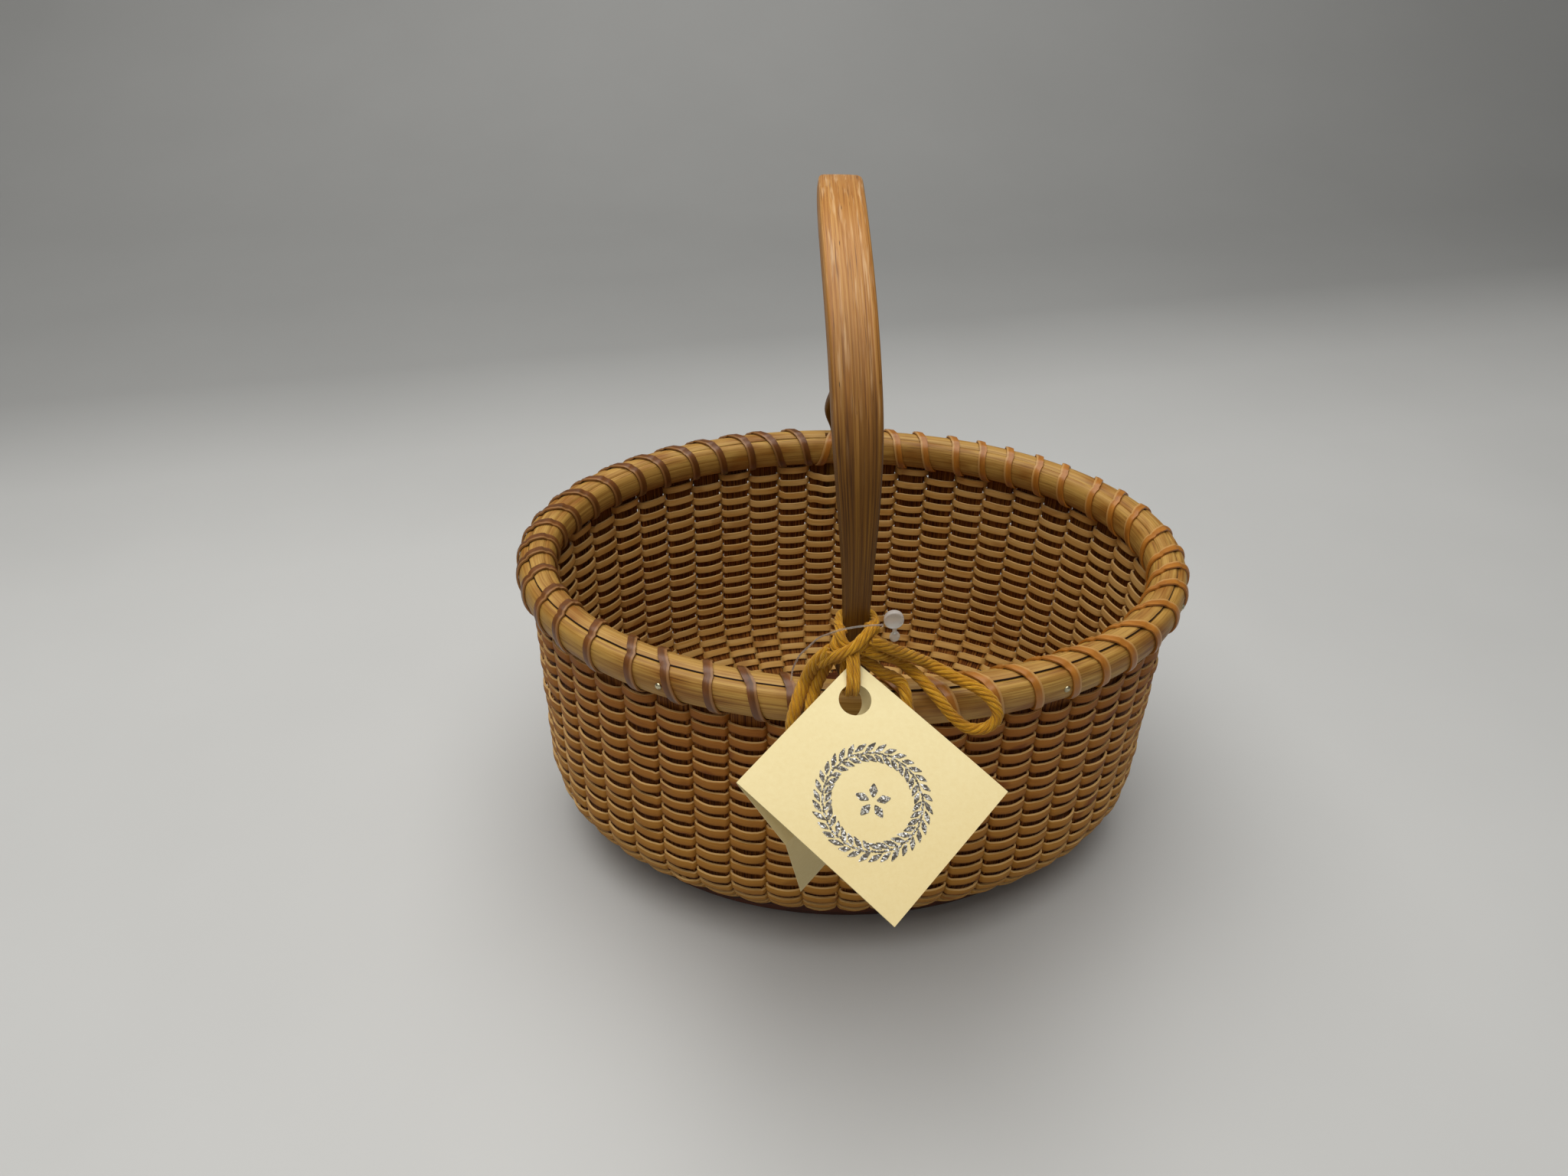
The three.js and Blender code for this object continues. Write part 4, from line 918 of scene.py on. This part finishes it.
def make_handle():
    front = np.arcsin((LOW_RISES / HANDLE_RISE) ** (ARCH_POWER / 2))
    over = np.linspace(front[-1], math.pi - front[-1], 90)[1:-1]
    angle = np.concatenate([front, over, math.pi - front[::-1]])
    y = -HALF_WIDTH * np.sign(np.cos(angle)) * np.abs(np.cos(angle)) ** (2 / ARCH_POWER)
    rise = HANDLE_RISE * np.sin(angle) ** (2 / ARCH_POWER)
    middle = np.column_stack([handle_x(y, rise), y, RIM_HEIGHT + rise])
    depth = FOOT_DEPTH + (ARCH_DEPTH - FOOT_DEPTH) * ease(0, SHOULDER_RISE, rise)
    across, inwards = squared(middle, np.tile([1.0, 0.0, 0.0], (len(angle), 1)))
    arch = (middle, across, -inwards, handle_width(rise), depth)
    rear_tail = (part[::-1] for part in handle_tail(REAR_FOOT, 1))
    middle, across, out, widths, depths = (
        np.concatenate(parts) for parts in zip(handle_tail(FRONT_FOOT, -1), arch, rear_tail))
    bm = bmesh.new()
    add_strip(bm, middle, across, out, HANDLE_SECTION, widths, depths, girth=HANDLE_GIRTH)
    finished(bm, "carved_handle", HANDLE, ["handle"], sharp=38)


make_handle()

# Base: an oval board, rounded below and cut to a slant above, where the weave's edge meets it
BASE_THICKNESS = 9.4
BASE_INSET = 14.2
# Its rings from the underside up: how far each lies in from the base's edge, and its height
BASE_RINGS = [(1.2, 0), (0.5, 0.3), (0.1, 0.8), (0, 1.5), (0, 6.7), (1.6, BASE_THICKNESS)]


def make_base():
    bm = bmesh.new()
    bmesh.ops.create_circle(bm, cap_ends=True, segments=196, radius=1)
    bmesh.ops.reverse_faces(bm, faces=bm.faces)
    share = bm.verts.layers.float.new("share")
    for v in bm.verts:
        v[share] = (math.atan2(v.co.y, v.co.x) / TURN) % 1
    top = bm.faces[:]
    for i, (inset, height) in enumerate(BASE_RINGS):
        if i:
            made = bmesh.ops.extrude_face_region(bm, geom=top)["geom"]
            top = [g for g in made if isinstance(g, bmesh.types.BMFace)]
        ring = list(top[0].verts)
        points, out = standing([v[share] for v in ring], -BASE_INSET - inset, height)
        for v, point in zip(ring, points):
            v.co = point * MM
    bmesh.ops.recalc_face_normals(bm, faces=bm.faces)
    finished(bm, "oval_base_board", BASE, ["base"])


make_base()

# Tag: two leaves of card that share a fold, with a ring of small glitter leaves on the front. A leaf
# is made flat in millimetres, its fold along X, and then moved to its place.
FOLD_LENGTH = 41.4
LEAF_WIDTH = 46.9
CARD_THICKNESS = 0.4
HOLE = Vector((7.6, 6.7))
HOLE_RADIUS = 3.9
TAG_CORNER = Vector((-5.9, -79.5, 119.9))
REAR_OPENING, REAR_BEND = math.radians(35.4), math.radians(72)
CREASE = 20.3
slope, turned, rolled = (math.radians(a) for a in (30, 7.7, 40.8))
tag_face = Vector((math.sin(slope) * math.sin(turned), -math.sin(slope) * math.cos(turned), math.cos(slope)))
tag_level = Vector((math.cos(turned), math.sin(turned), 0))
tag_fold = -math.cos(rolled) * tag_level - math.sin(rolled) * tag_face.cross(tag_level)
tag_turn = Matrix((tag_fold, tag_face.cross(tag_fold), tag_face)).transposed().to_4x4()
TAG_PLACE = Matrix.Translation(TAG_CORNER * MM) @ tag_turn


def card_leaf(cuts_along, cuts_across=()):
    """A flat leaf of card with a round hole, cut where it is to bend, and facing up."""
    bm = bmesh.new()
    bmesh.ops.create_grid(bm, x_segments=1, y_segments=1, size=0.5)
    bmesh.ops.delete(bm, geom=bm.faces[:], context="FACES_ONLY")
    for v in bm.verts:
        v.co = Vector((FOLD_LENGTH if v.co.x > 0 else 0, LEAF_WIDTH if v.co.y > 0 else 0, 0))
    ring = bmesh.ops.create_circle(bm, segments=36, radius=HOLE_RADIUS)["verts"]
    bmesh.ops.translate(bm, vec=HOLE.to_3d(), verts=ring)
    bmesh.ops.triangle_fill(bm, edges=bm.edges[:], use_beauty=True, use_dissolve=False)
    inner = [f for f in bm.faces if all((v.co.xy - HOLE).length < HOLE_RADIUS * 1.01 for v in f.verts)]
    bmesh.ops.delete(bm, geom=inner, context="FACES_ONLY")
    for y in cuts_along:
        cut(bm, (0, y, 0), (0, 1, 0))
    for x in cuts_across:
        cut(bm, (x, 0, 0), (1, 0, 0))
    bmesh.ops.recalc_face_normals(bm, faces=bm.faces)
    if sum(f.normal.z for f in bm.faces) < 0:
        bmesh.ops.reverse_faces(bm, faces=bm.faces)
    return bm


def on_tag(bm, name, material, replaced, body, sharp=35):
    """Moves what was made flat in millimetres to the tag's place, as a finished piece."""
    bmesh.ops.scale(bm, vec=(MM, MM, MM), verts=bm.verts)
    bmesh.ops.transform(bm, matrix=TAG_PLACE, verts=bm.verts)
    finished(bm, name, material, replaced, body, sharp)


def card_bow(x, y):
    """The front leaf is flat in its middle, and its corners fall back very slightly."""
    return min(-0.0009 * (x - 20) ** 2 - 0.0006 * (y - 23) ** 2 + 0.45, 0.0)


def make_front_leaf():
    bm = card_leaf(np.linspace(2, LEAF_WIDTH - 2, 14), np.linspace(3, FOLD_LENGTH - 3, 12))
    bmesh.ops.solidify(bm, geom=bm.faces[:], thickness=CARD_THICKNESS)
    top = max(v.co.z for v in bm.verts)
    for v in bm.verts:
        v.co.z += card_bow(v.co.x, v.co.y) - top
    on_tag(bm, "tag_front", CARD, ["tag_front_leaf"], "tag", sharp=30)


def make_rear_leaf():
    bm = card_leaf([0.8, 2, 5, 9, 13, 17, 19, 19.6, 20, 20.3, 20.6, 21, 21.6, 24, 28, 33, 38, 43])
    for v in bm.verts:
        y = v.co.y
        soft = float(ease(CREASE - 1.2, CREASE + 1.2, y))
        near, past = min(y, CREASE), max(y - CREASE, 0.0)
        v.co.y = near * math.cos(REAR_OPENING) + past * math.cos(REAR_BEND)
        v.co.z = -CARD_THICKNESS - 0.15 - near * math.sin(REAR_OPENING) - past * math.sin(REAR_BEND)
        v.co.z += 0.6 * soft * (1 - soft)
    bmesh.ops.solidify(bm, geom=bm.faces[:], thickness=CARD_THICKNESS)
    on_tag(bm, "tag_rear", CARD, ["tag_rear_leaf"], "tag_rear", sharp=40)


make_front_leaf()
make_rear_leaf()

WREATH_CENTRE = Vector((23.5, 25.5))
WREATH_RADIUS = 11.5
INK_HEIGHT = 0.09


def make_wreath():
    """A ring of small pointed leaves round a plain flower, printed in raised glitter."""
    rng = np.random.default_rng(21)
    bm = bmesh.new()

    def leaf(angle, reach, turn, length, width):
        made = bmesh.ops.create_circle(bm, cap_ends=True, segments=10, radius=1)["verts"]
        for v in made:
            u = v.co.x
            v.co = Vector((u * length / 2, v.co.y * width / 2 * (1 - 0.55 * abs(u)), 0))
        bmesh.ops.rotate(bm, verts=made, matrix=Matrix.Rotation(turn, 3, "Z"))
        at = WREATH_CENTRE + Vector((math.cos(angle), math.sin(angle))) * reach
        bmesh.ops.translate(bm, verts=made, vec=at.to_3d())

    for angle in np.arange(34) * TURN / 34:
        for side in (-1, 1):
            turn = angle + TURN / 4 + side * 0.65 + 0.12 * rng.normal()
            leaf(angle, WREATH_RADIUS + side * 1.3, turn, 3.3 + 0.3 * rng.normal(), 1.25)
    for angle in np.arange(100) * TURN / 100:
        leaf(angle, WREATH_RADIUS + 0.12 * rng.normal(), angle + TURN / 4, 0.95, 0.6)
    for angle in np.arange(5) * TURN / 5:
        leaf(angle, 2.6, angle, 3.4, 2.0)
    for f in bm.faces:
        if f.normal.z < 0:
            f.normal_flip()
    raised = bmesh.ops.extrude_face_region(bm, geom=bm.faces[:])["geom"]
    raised = [g for g in raised if isinstance(g, bmesh.types.BMVert)]
    bmesh.ops.translate(bm, verts=raised, vec=(0, 0, INK_HEIGHT))
    for v in bm.verts:
        v.co.z += card_bow(v.co.x, v.co.y) + 0.005
    bmesh.ops.recalc_face_normals(bm, faces=bm.faces)
    on_tag(bm, "glitter_wreath", INK, (), "tag")


make_wreath()


# Floor, lamps and world, in metres
FLOOR_WIDTH, FLOOR_LENGTH = 2.2, 2.0
FLOOR_MIDDLE = 0.6
FLOOR_BEND_START, FLOOR_BEND = 0.62, 0.5


def make_stage():
    """A matt board that curves up behind the basket, with painted shade: paler near by and darker towards
    the back, and a little more so on the left."""
    bm = bmesh.new()
    bmesh.ops.create_grid(bm, x_segments=60, y_segments=90, size=1)
    for v in bm.verts:
        x, y, rise = v.co.x * FLOOR_WIDTH, v.co.y * FLOOR_LENGTH + FLOOR_MIDDLE, 0.0
        past = y - FLOOR_BEND_START
        if past > 0:
            quarter = FLOOR_BEND * TURN / 4
            angle = min(past, quarter) / FLOOR_BEND
            rise = FLOOR_BEND * (1 - math.cos(angle)) + max(past - quarter, 0.0)
            y = FLOOR_BEND_START + FLOOR_BEND * math.sin(angle)
        v.co = Vector((x, y, rise))
    m = Finish("matt_pale_board", Roughness=0.55, IOR=1.4)
    cloud = m.noise(m.place, 7.0, 5.0)
    apart = m.add("SeparateXYZ", {"Vector": m.place}).outputs
    # Painted shade: the board darkens away from the basket, towards the back and the left, where the light
    # falls off.
    far = m.math("MULTIPLY_ADD", apart["X"], -0.25, apart["Y"], clamp=True)
    ground = m.ramp(far, (0.2, WHITE), (0.3, "#f2f2f2"), (0.42, "#cccccc"), (0.55, "#c8c8c8"),
                    (1.0, "#dedede"))
    plain = m.ramp(cloud, (0.3, "#bdbdbb"), (0.7, "#c1c1bf"))
    mesh = as_mesh(bm, "floor")
    mesh.materials.append(m.done(m.times(plain, ground)))
    new_object("floor", mesh)


LAMP_AIM = Vector((0, 0, 0.05))


def make_lamp(name, place, size, energy, tint):
    data = bpy.data.lights.new(name, "AREA")
    data.shape = "RECTANGLE"
    data.size, data.size_y = size
    data.energy = energy
    data.color = colour(tint)[:3]
    lamp = new_object(name, data)
    lamp.location = place
    lamp.rotation_euler = (LAMP_AIM - Vector(place)).to_track_quat("-Z", "Y").to_euler()


make_stage()
make_lamp("top_lamp", (-0.12, -0.02, 1.0), (1.3, 1.0), 13.5, "#fffefc")
make_lamp("front_lamp", (-0.45, -0.9, 0.8), (0.7, 0.7), 0.5, "#fffcf6")
world = bpy.data.worlds.new("world")
world.use_nodes = True
background = world.node_tree.nodes["Background"]
background.inputs["Color"].default_value = colour("#e6e6e4")
background.inputs["Strength"].default_value = 0.19
scene.world = world
